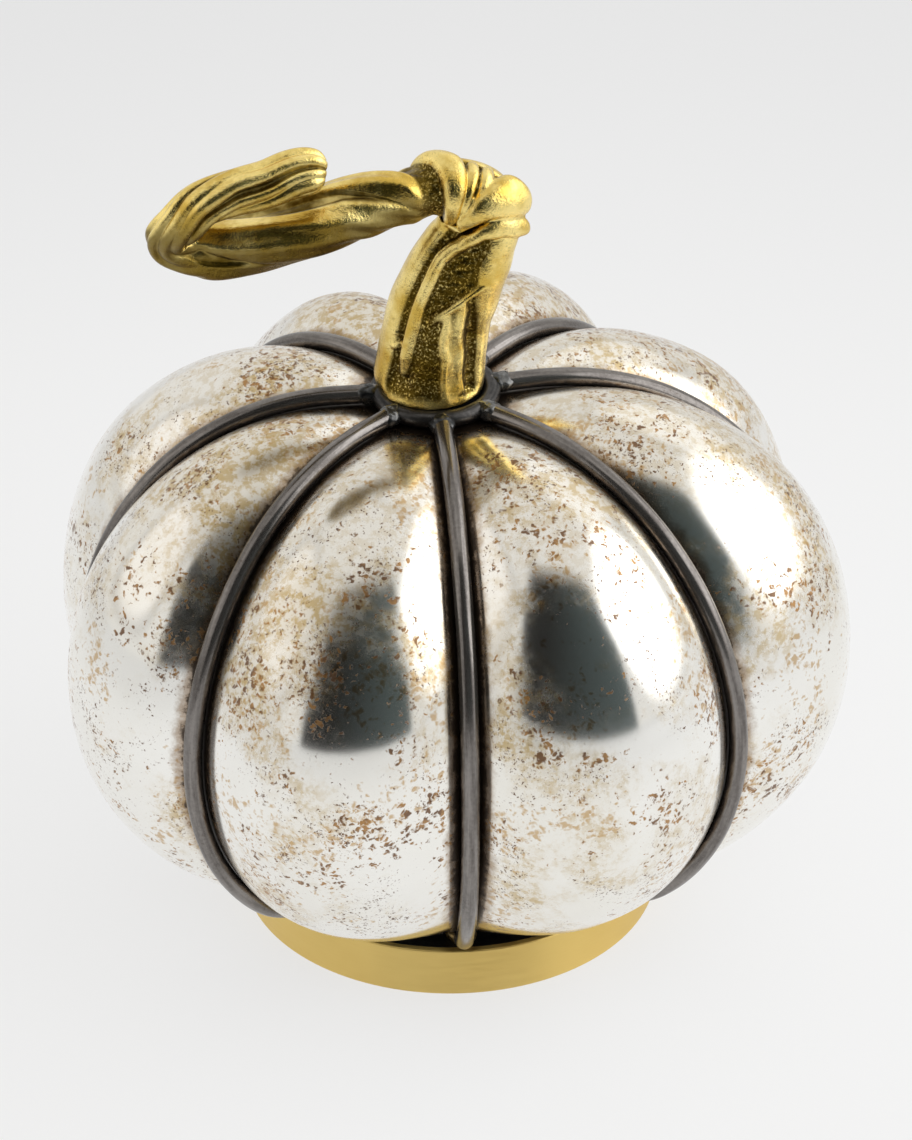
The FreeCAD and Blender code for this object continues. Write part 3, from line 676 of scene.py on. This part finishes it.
def stalk():
    """The casting: core, straps, twisted strands, fine ridges along them, and stipple in the sunk panels.

    How far a point stands out is the line's radius there, less the rise of a strap times what the greatest
    strap's height falls short of 0.95, plus the grit, the waves and the ridges.
    """
    centre, side, other, radius, travelled = line_of_stalk
    bearing = np.linspace(0, 360, STALK_COLUMNS, endpoint=False)
    best = np.zeros((STALK_ROWS, STALK_COLUMNS))
    for stations in TRUNK_STRAPS:
        best = np.maximum(best, strap(travelled, bearing, np.radians(radius)[:, None], stations))
    on_arm = smooth_step(travelled, ARM_START, ARM_FULL)[:, None]
    on_curl = smooth_step(travelled, CURL_START, CURL_FULL)[:, None]
    turn = np.interp(travelled, *np.array(ARM_TURN, float).T)
    curl_turn = np.interp(travelled, *np.array(CURL_TURN, float).T)
    thick = strands(travelled, bearing, ARM_STRANDS, turn, ARM_SWELL)
    thin = strands(travelled, bearing, CURL_STRANDS, curl_turn, CURL_SWELL)
    best = np.maximum(best, on_arm * (thick * (1 - on_curl) + thin * on_curl))
    for _ in range(2):
        best = (np.roll(best, 1, 1) + 2 * best + np.roll(best, -1, 1)) / 4
    rise = STRAP_RISE * (0.35 + 0.65 * radius / TRUNK_R)[:, None] * (1 + 0.25 * on_arm)
    reach = radius[:, None] - rise * (0.95 - best) + 0.2 * on_arm
    turned = np.radians(bearing)[None, :, None]
    across = side[:, None, :] * np.cos(turned) + other[:, None, :] * np.sin(turned)
    points = centre[:, None, :] + across * reach[..., None]
    sunk = 1 - smooth_step(best, 0.15, 0.75)
    grit = waves(points, 2.3, 3.0, 8) * 0.10 + waves(points, 1.2, 5.0, 8) * 0.06
    reach = reach + grit * sunk * (1 - on_arm) + waves(points, CASTING_WAVE, 2.0) * CASTING_DEPTH
    ridge = np.radians(RIDGES * (bearing[None, :] - turn[:, None])) + 1.5 * waves(points, 30.0, 6.0)
    reach = reach + RIDGE_RISE * np.sin(ridge) * on_arm * (1 - on_curl) * (1 - sunk)
    foot = smooth_step(travelled, 0.0, FOOT_BLEND)[:, None]
    reach = reach * foot + (radius[:, None] - 0.4 + waves(points, 5.0, 7.0) * 0.12) * (1 - foot)
    tip = np.clip((travelled[-1] + TIP_PAST - travelled) / TIP_BLEND, 0.0, 1.0)
    reach = reach * np.sqrt(np.maximum(1 - (1 - tip) ** 2, 0.0))[:, None]
    points = centre[:, None, :] + across * reach[..., None]
    points[0, :, 2] = COLLAR_TOP
    layers = {"sunk": sunk * foot, "arm": np.tile(on_arm, (1, STALK_COLUMNS))}
    return grid_piece("stalk", points, caps=True, layers=layers)


gilt_stalk = settle(stalk(), "gilt_casting", "stem")

# %% [markdown]
# ## Finishes
# A finish is built from a few node tools: sums, soft ramps, noises and blends. Each tool takes numbers,
# colours or the outputs of other nodes for its inputs, so a finish below reads as a recipe.

# %% Node tools
def feed(tree, target, value):
    """Link another node's output to an input, or set the input to a number, a colour or a vector."""
    if isinstance(value, bpy.types.NodeSocket):
        tree.links.new(value, target)
    elif target.type == "RGBA":
        target.default_value = (*value, 1.0)
    else:
        target.default_value = value


def node(tree, kind, feeds=None, **settings):
    """A node with its settings; `feeds` says what goes into its inputs."""
    made = tree.nodes.new(kind)
    for key, value in settings.items():
        setattr(made, key, value)
    for slot, value in (feeds or {}).items():
        feed(tree, made.inputs[slot], value)
    return made


def maths(tree, operation, *values, clamp=False):
    feeds = dict(enumerate(values))
    return node(tree, "ShaderNodeMath", feeds, operation=operation, use_clamp=clamp).outputs[0]


def scaled(tree, value, by):
    return maths(tree, "MULTIPLY", value, by)


def greatest(tree, first, second):
    return maths(tree, "MAXIMUM", first, second)


def ramp(tree, value, low, high, start=0.0, end=1.0):
    """Map a value from low..high to start..end, with soft ends and nothing outside them."""
    feeds = {"Value": value, "From Min": low, "From Max": high, "To Min": start, "To Max": end}
    return node(tree, "ShaderNodeMapRange", feeds, interpolation_type="SMOOTHSTEP").outputs["Result"]


def noise(tree, vector, scale, detail=3.0, roughness=0.55, warp=0.0):
    feeds = {"Vector": vector, "Scale": scale, "Detail": detail, "Roughness": roughness, "Distortion": warp}
    return node(tree, "ShaderNodeTexNoise", feeds).outputs["Fac"]


def mix(tree, share, first, second):
    """Blend of two colours."""
    return node(tree, "ShaderNodeMix", {0: share, 6: first, 7: second}, data_type="RGBA").outputs[2]


def axis(tree, vector, letter):
    return node(tree, "ShaderNodeSeparateXYZ", {0: vector}).outputs[letter]


def attribute(tree, name):
    return node(tree, "ShaderNodeAttribute", attribute_name=name, attribute_type="GEOMETRY").outputs["Fac"]


def bump(tree, height, depth_mm, strength):
    feeds = {"Height": height, "Distance": depth_mm * MM, "Strength": strength}
    return node(tree, "ShaderNodeBump", feeds).outputs["Normal"]


def blank(name):
    """A new material, its tree and its Object coordinates, ready to be filled."""
    material = bpy.data.materials.new(name)
    material.use_nodes = True
    tree = material.node_tree
    return material, tree, node(tree, "ShaderNodeTexCoord").outputs["Object"]


def fill(tree, looks):
    """Feed the material's own shader: its colour, metal, roughness and so on."""
    shader = tree.nodes["Principled BSDF"]
    for name, value in looks.items():
        feed(tree, shader.inputs[name], value)


def wear(piece, material):
    piece.data.materials.clear()
    piece.data.materials.append(material)


tools = (maths, scaled, greatest, ramp, noise, mix, axis, attribute, bump)
print("node tools:", ", ".join(tool.__name__ for tool in tools))

# %% [markdown]
# ### Clustered specks
# Tarnish, patina and worn metal all need the same thing: specks that crowd together in some places and are
# missing in others. That is one effect with several uses, so it is one node group. A coarse noise says
# where specks are dense. Each cell of a Voronoi pattern holds one round speck, which is larger where the
# coarse noise is high, and a fine noise pushes the cells about so that no speck is quite round.

# %% A group: clustered specks
CROWD = (0.40, 0.64)      # the coarse noise at which specks begin to crowd, and at which they are thickest
LOT_SHARE = 0.42          # how much smaller than the rest the unluckiest cell's speck is
RAGGED_SHARE = 0.5
PUSH = 2.7                # how far the fine noise pushes the cells, against their own size


def clustered_specks():
    """Round specks that grow and run together where a coarse noise is high. Puts out their mask.

    Each cell of a Voronoi pattern holds one speck. Its radius is the least size, plus the crowding times the
    growth, less the cell's own lot, plus a little fine noise; the mask is how far inside that radius a point
    lies, divided by the softness.
    """
    group = bpy.data.node_groups.new("clustered specks", "ShaderNodeTree")
    for name, kind, way, value in (
            ("Vector", "NodeSocketVector", "INPUT", None),
            ("Speck Scale", "NodeSocketFloat", "INPUT", 500.0),
            ("Crowd Scale", "NodeSocketFloat", "INPUT", 30.0),
            ("Least", "NodeSocketFloat", "INPUT", 0.3),
            ("Growth", "NodeSocketFloat", "INPUT", 0.4),
            ("Softness", "NodeSocketFloat", "INPUT", 0.08),
            ("Specks", "NodeSocketFloat", "OUTPUT", None)):
        made = group.interface.new_socket(name=name, in_out=way, socket_type=kind)
        if value is not None:
            made.default_value = value
    inputs = node(group, "NodeGroupInput").outputs
    vector, scale = inputs["Vector"], inputs["Speck Scale"]
    coarse = noise(group, vector, inputs["Crowd Scale"], 5.0, 0.62)
    ragged = node(group, "ShaderNodeTexNoise",
                  {"Vector": vector, "Scale": scaled(group, scale, 0.8), "Detail": 2.0})
    push = node(group, "ShaderNodeVectorMath",
                {0: ragged.outputs["Color"], "Scale": maths(group, "DIVIDE", PUSH, scale)}, operation="SCALE")
    moved = node(group, "ShaderNodeVectorMath", {0: vector, 1: push.outputs[0]}, operation="ADD")
    cells = node(group, "ShaderNodeTexVoronoi", {"Vector": moved.outputs[0], "Scale": scale}, feature="F1")
    lot = node(group, "ShaderNodeSeparateColor", {0: cells.outputs["Color"]}).outputs[0]
    size = maths(group, "MULTIPLY_ADD", ramp(group, coarse, *CROWD), inputs["Growth"], inputs["Least"])
    size = maths(group, "SUBTRACT", size, scaled(group, lot, LOT_SHARE))
    size = maths(group, "ADD", size, scaled(group, ragged.outputs["Fac"], RAGGED_SHARE))
    inside = maths(group, "SUBTRACT", size, cells.outputs["Distance"])
    node(group, "NodeGroupOutput", {"Specks": maths(group, "DIVIDE", inside, inputs["Softness"], clamp=True)})
    return group


SPECKS = clustered_specks()


def specks(tree, vector, speck_mm, crowd_mm, least, growth, softness):
    """Places the group: speck and crowd sizes in millimetres, a lone speck's size, its growth in a crowd."""
    feeds = {"Vector": vector, "Speck Scale": 1 / (speck_mm * MM), "Crowd Scale": 1 / (crowd_mm * MM),
             "Least": least, "Growth": growth, "Softness": softness}
    return node(tree, "ShaderNodeGroup", feeds, node_tree=SPECKS).outputs["Specks"]


print("group", SPECKS.name)

# %% [markdown]
# ## Antiqued silvering
# The silver lies behind clear glass, so the whole thing is a mirror with a clear gloss over it. The
# antiquing acid stained it in several ways: clouds of thin straw-gold bloom, more of them towards the top
# and thickest round the neck; crowds of brown specks a millimetre or two across; and a scatter of single dark
# pinholes. Beside the wires and round the collar comes a brown fringe, partly stain and partly painted shade,
# and then a nearly black band of painted shade: the shaded groove with the dark wire mirrored in it. A
# darkened place still mirrors a little, so the stains and the painted shade tint the metal and dull it, and
# hardly lower it.

# %% Antiqued silvering
SILVER, HAZED_SILVER = (0.94, 0.93, 0.89), (0.87, 0.85, 0.785)
BLOOM, STRAW = (0.56, 0.40, 0.15), (0.55, 0.34, 0.115)
RUST, DARK_RUST = (0.42, 0.215, 0.062), (0.165, 0.075, 0.027)
PINHOLE = (0.13, 0.058, 0.022)
# beside the wires and the collar: a brown fringe, partly stain and partly painted shade, then a nearly black
# band of painted shade
STAIN_AND_SHADE_FRINGE, GROOVE_SHADE = (0.27, 0.155, 0.06), (0.035, 0.022, 0.014)
STAIN_AND_SHADE_FRINGE_REACH = (7.2, 4.3)         # millimetres from a wire, its waver counted in: starts at, is full at
GROOVE_SHADE_REACH = (4.8, 3.8)
NECK_STAIN = (0.118, 0.146)       # heights in metres between which the stain round the neck comes in
CLOUDS_RISE = (0.06, 0.14)        # heights in metres between which the clouds grow


def silvering():
    material, tree, place = blank("antiqued silvering")
    height = axis(tree, place, "Z")
    more_above = ramp(tree, height, *CLOUDS_RISE, -0.02, 0.07)
    spread = maths(tree, "ADD", noise(tree, place, 30.0, 7.0, 0.68), more_above)
    neck = scaled(tree, ramp(tree, height, *NECK_STAIN), 0.55)
    cloud = greatest(tree, ramp(tree, spread, 0.45, 0.68), neck)
    fine = ramp(tree, noise(tree, place, 420.0, 4.0, 0.7), 0.40, 0.62)
    veil = maths(tree, "MULTIPLY", cloud, ramp(tree, fine, 0.0, 1.0, 0.22, 0.85))
    straw = specks(tree, place, 2.0, 23.0, -0.16, 0.70, 0.35)
    brown = specks(tree, place, 1.65, 21.0, -0.12, 0.58, 0.24)
    dark = specks(tree, place, 0.85, 16.0, -0.12, 0.44, 0.25)
    tone = ramp(tree, noise(tree, place, 240.0, 3.0, 0.6), 0.40, 0.60)
    waver = scaled(tree, noise(tree, place, 170.0, 6.0, 0.75), 6.0)
    beside = maths(tree, "ADD", attribute(tree, "beside"), waver)
    # the nearly black band beside the wires and the collar is painted shade: the shaded groove with the dark
    # wire mirrored in it
    groove_shade = ramp(tree, beside, *GROOVE_SHADE_REACH)
    haze = ramp(tree, noise(tree, place, 18.0, 4.0), 0.35, 0.75)
    colour = mix(tree, haze, SILVER, HAZED_SILVER)
    # the last two layers are the brown fringe, partly stain and partly painted shade, and the nearly black
    # band of painted shade beside the metal
    for mask, share, stain_and_shade_colour in (
            (veil, 1.0, BLOOM), (straw, 0.74, STRAW), (brown, 0.94, mix(tree, tone, RUST, DARK_RUST)),
            (dark, 0.92, PINHOLE), (ramp(tree, beside, *STAIN_AND_SHADE_FRINGE_REACH), 0.75, STAIN_AND_SHADE_FRINGE), (groove_shade, 0.92, GROOVE_SHADE)):
        colour = mix(tree, scaled(tree, mask, share), colour, stain_and_shade_colour)
    # the stains together with the painted shade beside the metal, which dull and tint the mirror
    stains_and_shade = greatest(tree, greatest(tree, brown, dark), groove_shade)
    dull = greatest(tree, stains_and_shade, scaled(tree, cloud, 0.8))
    fill(tree, {"Base Color": colour,
                "Metallic": ramp(tree, stains_and_shade, 0.0, 1.0, 1.0, 0.90),
                "Roughness": ramp(tree, dull, 0.0, 1.0, 0.14, 0.36),
                "Coat Weight": 0.35,
                "Coat Roughness": 0.08,
                "Normal": bump(tree, noise(tree, place, 70.0, 2.0), 0.12, 0.35)})
    return material


wear(glass, silvering())

# %% [markdown]
# ## Patinated steel
# The wire was blackened and waxed. The wax leaves a warm grey sheen, drawn out along the wire, and the dark
# layer has rubbed thin on top. The collar is given a darker tone than the wires; the welds, the plates and
# the plated nut, stud and screws are the same kind of worn metal in other tones.

# %% Patinated steel
DUST = (0.075, 0.055, 0.04)
SQUEEZE = 0.06            # how little the length along a wire counts against the way round it


def along_wire(tree):
    """Coordinates in which a pattern is drawn out along a wire: its length counts for little."""
    normal = node(tree, "ShaderNodeNewGeometry").outputs["Normal"]
    feeds = {"X": scaled(tree, attribute(tree, "along"), MM * SQUEEZE),
             "Y": scaled(tree, axis(tree, normal, "Z"), WIRE_R * MM),
             "Z": scaled(tree, axis(tree, normal, "X"), WIRE_R * MM)}
    return node(tree, "ShaderNodeCombineXYZ", feeds).outputs[0]


def patinated(name, dark, light, rough, streaked=False):
    """Worn metal in two tones with a few specks of dust; streaked along the wire, or mottled."""
    material, tree, place = blank(name)
    vector, scale = (along_wire(tree), 900.0) if streaked else (place, 220.0)
    patch = noise(tree, place, 1100.0, 3.0)
    share = maths(tree, "ADD", scaled(tree, noise(tree, vector, scale, 4.0, 0.6), 0.75),
                  scaled(tree, patch, 0.25))
    metal = mix(tree, ramp(tree, share, 0.32, 0.68), dark, light)
    dust = specks(tree, place, 0.8, 14.0, -0.22, 0.4, 0.2)
    fill(tree, {"Base Color": mix(tree, scaled(tree, dust, 0.6), metal, DUST),
                "Metallic": 0.9,
                "Roughness": ramp(tree, share, 0.3, 0.7, rough + 0.08, rough - 0.06),
                "Normal": bump(tree, patch, 0.04, 0.4)})
    return material


for pieces, name, dark, light, rough, streaked in (
        (wires, "waxed black steel", (0.12, 0.108, 0.10), (0.27, 0.25, 0.235), 0.21, True),
        # the collar ring is made darker than the wires
        ([collar_wire], "darker collar steel", (0.022, 0.021, 0.021), (0.10, 0.095, 0.09), 0.30, True),
        ([collar_beads], "weld silver", (0.025, 0.026, 0.027), (0.22, 0.22, 0.215), 0.26, False),
        ([brazing], "brazing", (0.20, 0.13, 0.05), (0.45, 0.33, 0.14), 0.34, False),
        ([NODES["base_plate"], NODES["top_plate"]],
         "blackened plate", (0.02, 0.022, 0.022), (0.055, 0.055, 0.05), 0.42, False),
        ([NODES["weld_nut"], NODES["stem_stud"], NODES["band_screws"]],
         "zinc plate", (0.42, 0.43, 0.44), (0.66, 0.66, 0.65), 0.30, False)):
    metal = patinated(name, dark, light, rough, streaked)
    for piece in pieces:
        wear(piece, metal)
    print(name, "on", len(pieces), "pieces")

# %% [markdown]
# ## Gilding
# Bright gilding on a cast surface in brighter and duller patches, with a grain from the casting sand
# everywhere; the tops of the straps stay bright. The sunk panels are a dark olive-brown: their depth comes
# from the mesh's own "sunk" attribute, so the dark lies exactly where the carving does. Along the arm the
# sunk gaps are darker too, and the same dark colour on its sides and underneath is painted shade and painted
# reflection of the dark end of the room. The curl stands highest and takes less of this painted shade.

# %% Gilding
GOLD, BRIGHT_GOLD = (0.68, 0.46, 0.09), (1.0, 0.80, 0.30)
# dark olive-brown: the sunk panels' colour, and on the arm also painted shade and painted reflection
SUNK_DARK_AND_SHADE = (0.085, 0.052, 0.005)
CURL_HEIGHTS = (0.196, 0.204)     # heights in metres between which the painted shade on the arm's sides and underside weakens towards the curl


def gilding():
    material, tree, place = blank("gilded casting")
    arm = attribute(tree, "arm")
    grain = noise(tree, place, 1700.0, 3.0, 0.7)
    hammer = noise(tree, place, 520.0, 2.0, 0.5)
    patch = noise(tree, place, 110.0, 4.0, 0.6)
    stipple = specks(tree, place, 0.62, 9.0, -0.10, 0.5, 0.3)
    depth = ramp(tree, attribute(tree, "sunk"), 0.06, 0.60)
    gritty = maths(tree, "MULTIPLY", depth, ramp(tree, grain, 0.72, 0.50), clamp=True)
    gritty = greatest(tree, gritty, scaled(tree, stipple, 0.32))
    normal = node(tree, "ShaderNodeNewGeometry").outputs["Normal"]
    # painted shade and painted reflection of the dark room: darker where the arm faces sideways and down,
    # less on the curl
    tilt = maths(tree, "ADD", axis(tree, normal, "Z"), scaled(tree, patch, 0.9))
    curl_shade_share = ramp(tree, axis(tree, place, "Z"), *CURL_HEIGHTS, 0.80, 0.35)
    under = maths(tree, "MULTIPLY", ramp(tree, tilt, 1.06, 0.50), curl_shade_share)
    arm_sunk_and_shade = maths(tree, "MULTIPLY", depth, ramp(tree, patch, 0.90, 0.35), clamp=True)
    arm_sunk_and_shade = greatest(tree, arm_sunk_and_shade, under)
    # the trunk is darker in its sunk panels; the arm is darker in its sunk gaps and takes the painted shade
    # on its sides and underside
    sunk_dark_and_shade = node(tree, "ShaderNodeMix", {0: arm, 2: gritty, 3: arm_sunk_and_shade}).outputs[0]
    gold = mix(tree, ramp(tree, patch, 0.35, 0.65), GOLD, BRIGHT_GOLD)
    relief = maths(tree, "ADD", scaled(tree, grain, 0.75), scaled(tree, hammer, 0.9))
    fill(tree, {"Base Color": mix(tree, sunk_dark_and_shade, gold, SUNK_DARK_AND_SHADE),
                "Metallic": 1.0,
                "Roughness": maths(tree, "ADD", ramp(tree, patch, 0.3, 0.7, 0.13, 0.24),
                                   scaled(tree, sunk_dark_and_shade, 0.15)),
                "Normal": bump(tree, relief, 0.30, 0.55)})
    return material


wear(gilt_stalk, gilding())

# %% [markdown]
# ## Satin brass
# The band was turned and then rubbed with fine abrasive along its length, so its grain runs round it. Noise
# stretched flat along the height gives that grain as thin level lines. Such a grain also draws every
# reflection out across itself, up and down the band, so a light above shows as an upright bright streak.

# %% Satin brass
BRASS, RUBBED_BRASS = (0.80, 0.59, 0.20), (0.74, 0.53, 0.17)
ROUND_THE_BAND = (0.05, 0.05, 1.0)


def satin_brass():
    material, tree, place = blank("satin brass")
    stretched = node(tree, "ShaderNodeMapping", {"Vector": place, "Scale": ROUND_THE_BAND}).outputs["Vector"]
    grain = noise(tree, stretched, 2600.0, 3.0, 0.6)
    cloud = noise(tree, place, 30.0, 3.0)
    fill(tree, {"Base Color": mix(tree, ramp(tree, cloud, 0.3, 0.7), BRASS, RUBBED_BRASS),
                "Metallic": 1.0,
                "Roughness": ramp(tree, grain, 0.3, 0.7, 0.36, 0.44),
                "Anisotropic": 0.85,
                "Anisotropic Rotation": 0.25,
                "Normal": bump(tree, grain, 0.02, 0.3)})
    return material


wear(NODES["base_band"], satin_brass())

# %% [markdown]
# ## Rubber and felt
# Nobody sees these until the thing is picked up or taken apart, but each has its own surface: felt is matted
# fibre, soft at its edge; rubber is dull with a moulded grain.

# %% Rubber and felt
def soft_stuff(name, low, high, grain_scale, rough, depth_mm, sheen):
    material, tree, place = blank(name)
    fibre = noise(tree, place, grain_scale, 5.0, 0.7, 1.5)
    fill(tree, {"Base Color": mix(tree, ramp(tree, fibre, 0.3, 0.7), low, high),
                "Roughness": ramp(tree, fibre, 0.2, 0.8, rough - 0.06, rough),
                "Sheen Weight": sheen,
                "Normal": bump(tree, fibre, depth_mm, 0.6)})
    return material


felt = soft_stuff("black felt", (0.012, 0.012, 0.013), (0.05, 0.05, 0.052), 1800.0, 0.98, 0.3, 0.4)
rubber = soft_stuff("grey rubber", (0.03, 0.03, 0.032), (0.07, 0.07, 0.072), 900.0, 0.72, 0.08, 0.0)
for name, stuff in (("felt_pad", felt), ("glass_cushion", felt), ("neck_gasket", rubber),
                    ("silvering_plug", rubber)):
    wear(NODES[name], stuff)

# %% [markdown]
# ## The studio
# A mirror shows its surroundings, so the light is most of how silvered glass looks. It stands on a wide pale
# sheet in a pale room. A large soft light stands on the right, a smaller one on the left and a third behind.
# In front is nothing but the unlit end of the room: the smooth dark patch in the middle of each lobe is that
# end of the room, seen once in every lobe.

# %% The studio
MIDDLE = np.array([0.0, 0.0, 0.08])
BLACK, WHITE = (0.0, 0.0, 0.0), (1.0, 1.0, 1.0)
SHEET, SHEET_SHADED, SHEET_FAR = (0.235, 0.238, 0.24), 0.985, (0.80, 0.80, 0.805)
SHEET_GLOW = 0.67
POOL = (0.05, 0.60)               # distances in metres between which the pool of light dies away
GLOOM, BLUE_GLOOM, ROOM = (0.020, 0.020, 0.019), (0.075, 0.095, 0.096), (0.45, 0.42, 0.38)
AIR, AIR_GLOW = (1.0, 0.985, 0.955), 0.82
CARD_POINTS = 21


def sheet_cloth():
    """Matt cloth lit from above and glowing from below, with a brighter pool of light near the middle."""
    material, tree, place = blank("white sheet")
    shaded = tuple(channel * SHEET_SHADED for channel in SHEET)
    far = node(tree, "ShaderNodeVectorMath", {0: place}, operation="LENGTH").outputs["Value"]
    fill(tree, {"Base Color": mix(tree, noise(tree, place, 3.0, 2.0), SHEET, shaded),
                "Roughness": 0.9,
                "Specular IOR Level": 0.0,
                "Emission Color": mix(tree, ramp(tree, far, *POOL), WHITE, SHEET_FAR),
                "Emission Strength": SHEET_GLOW})
    return material


def glowing(tree, colour, strength, cover=1.0):
    """Feed the shader as a thing that only glows: no colour or shine of its own."""
    fill(tree, {"Base Color": BLACK, "Specular IOR Level": 0.0, "Emission Color": colour,
                "Emission Strength": strength, "Alpha": cover})


def soft_panel(name, strength, tint):
    """Glowing cloth: brightest in the middle and fading out towards its edges."""
    material, tree, _ = blank(name)
    fade = ramp(tree, attribute(tree, "middle"), 0.0, 0.62)
    glowing(tree, mix(tree, fade, BLACK, tint), strength, fade)
    return material


def dark_room():
    """Nearly black, a little lighter and bluer to the right, and fading into the pale room at its top."""
    material, tree, place = blank("dark room")
    gloom = mix(tree, ramp(tree, axis(tree, place, "X"), -0.7, 1.1), GLOOM, BLUE_GLOOM)
    glowing(tree, mix(tree, ramp(tree, axis(tree, place, "Z"), 2.2, 3.05), gloom, ROOM), 1.0)
    return material


def card(name, centre, facing, width, height, material, seen=False):
    """A flat card of the given size whose face looks along `facing`; its place is in its mesh.

    It is a grid, so that an attribute can say how near a point is to the middle: the product of
    1 - x^2 and 1 - y^2, with x and y from -1 to 1 across the card.
    """
    facing = unit(np.array(facing, float))
    level = abs(facing[2]) < 0.99
    right = unit(np.cross(UP, facing)) if level else np.array([1.0, 0.0, 0.0])
    up = np.cross(facing, right)
    steps = np.linspace(-1, 1, CARD_POINTS)
    x, y = np.meshgrid(steps, steps)
    points = np.array(centre, float) + right * (x * width / 2)[..., None] + up * (y * height / 2)[..., None]
    index = np.arange(x.size).reshape(x.shape)
    quads = np.stack([index[:-1, :-1], index[:-1, 1:], index[1:, 1:], index[1:, :-1]], axis=-1)
    mesh = bpy.data.meshes.new(name)
    mesh.from_pydata(points.reshape(-1, 3).tolist(), [], quads.reshape(-1, 4).tolist())
    add_layer(mesh, "middle", (1 - x ** 2) * (1 - y ** 2))
    piece = in_scene(name, mesh)
    wear(piece, material)
    piece.visible_camera = seen
    return piece


def aimed(bearing, height, away):
    """Place at a bearing (0 in front, 90 to the right) and a height, both in degrees, from the middle."""
    b, h = math.radians(bearing), math.radians(height)
    return MIDDLE + away * np.array([math.sin(b) * math.cos(h), -math.cos(b) * math.cos(h), math.sin(h)])


card("white_sheet", (0.0, 0.0, 0.0), UP, 16.0, 16.0, sheet_cloth(), True)
gap = card("dark_gap", (-0.03, -1.25, 1.56), (0, 1, 0), 2.25, 3.0, dark_room())
for ray in ("diffuse", "shadow", "transmission", "volume_scatter"):
    setattr(gap, "visible_" + ray, False)
for name, bearing, height, width, tall, strength, tint in (
        ("right_light", 83, 31, 2.5, 2.0, 2.4, WHITE),
        ("left_light", -87, 29, 1.9, 1.5, 1.0, (1.0, 0.97, 0.93)),
        ("back_light", 148, 44, 1.3, 1.7, 1.1, (1.0, 0.99, 0.97))):
    place = aimed(bearing, height, 1.5)
    card(name, place, MIDDLE - place, width, tall, soft_panel(name, strength, tint))
    print(name, "at", place.round(2), "m")
world = bpy.data.worlds.new("studio")
bpy.context.scene.world = world
world.use_nodes = True
air = world.node_tree.nodes["Background"].inputs
air["Color"].default_value = (*AIR, 1.0)
air["Strength"].default_value = AIR_GLOW

# %% [markdown]
# ## The camera
# A long lens from well above: it flattens the shape, keeps uprights upright and shows the crown and the
# stalk together.

# %% The camera
CAMERA_AWAY = 1.35
CAMERA_UP, CAMERA_ROUND = math.radians(33.014), math.radians(-3.585)
LOOK_AT = np.array([0.0015, 0.0, 0.0905])
SENSOR, FOCAL_LENGTH = 36.0, 174.4
lens = bpy.data.cameras.new("catalogue")
lens.sensor_fit = "VERTICAL"
lens.sensor_height = SENSOR
lens.lens = FOCAL_LENGTH
back = np.array([math.sin(CAMERA_ROUND) * math.cos(CAMERA_UP),
                 -math.cos(CAMERA_ROUND) * math.cos(CAMERA_UP), math.sin(CAMERA_UP)])
camera = in_scene("catalogue", lens)
camera.location = LOOK_AT + CAMERA_AWAY * back
camera.rotation_euler = Vector(-back).to_track_quat("-Z", "Y").to_euler()
bpy.context.scene.camera = camera
bpy.context.scene.view_settings.view_transform = "Standard"
print("camera at", [round(part, 3) for part in camera.location])
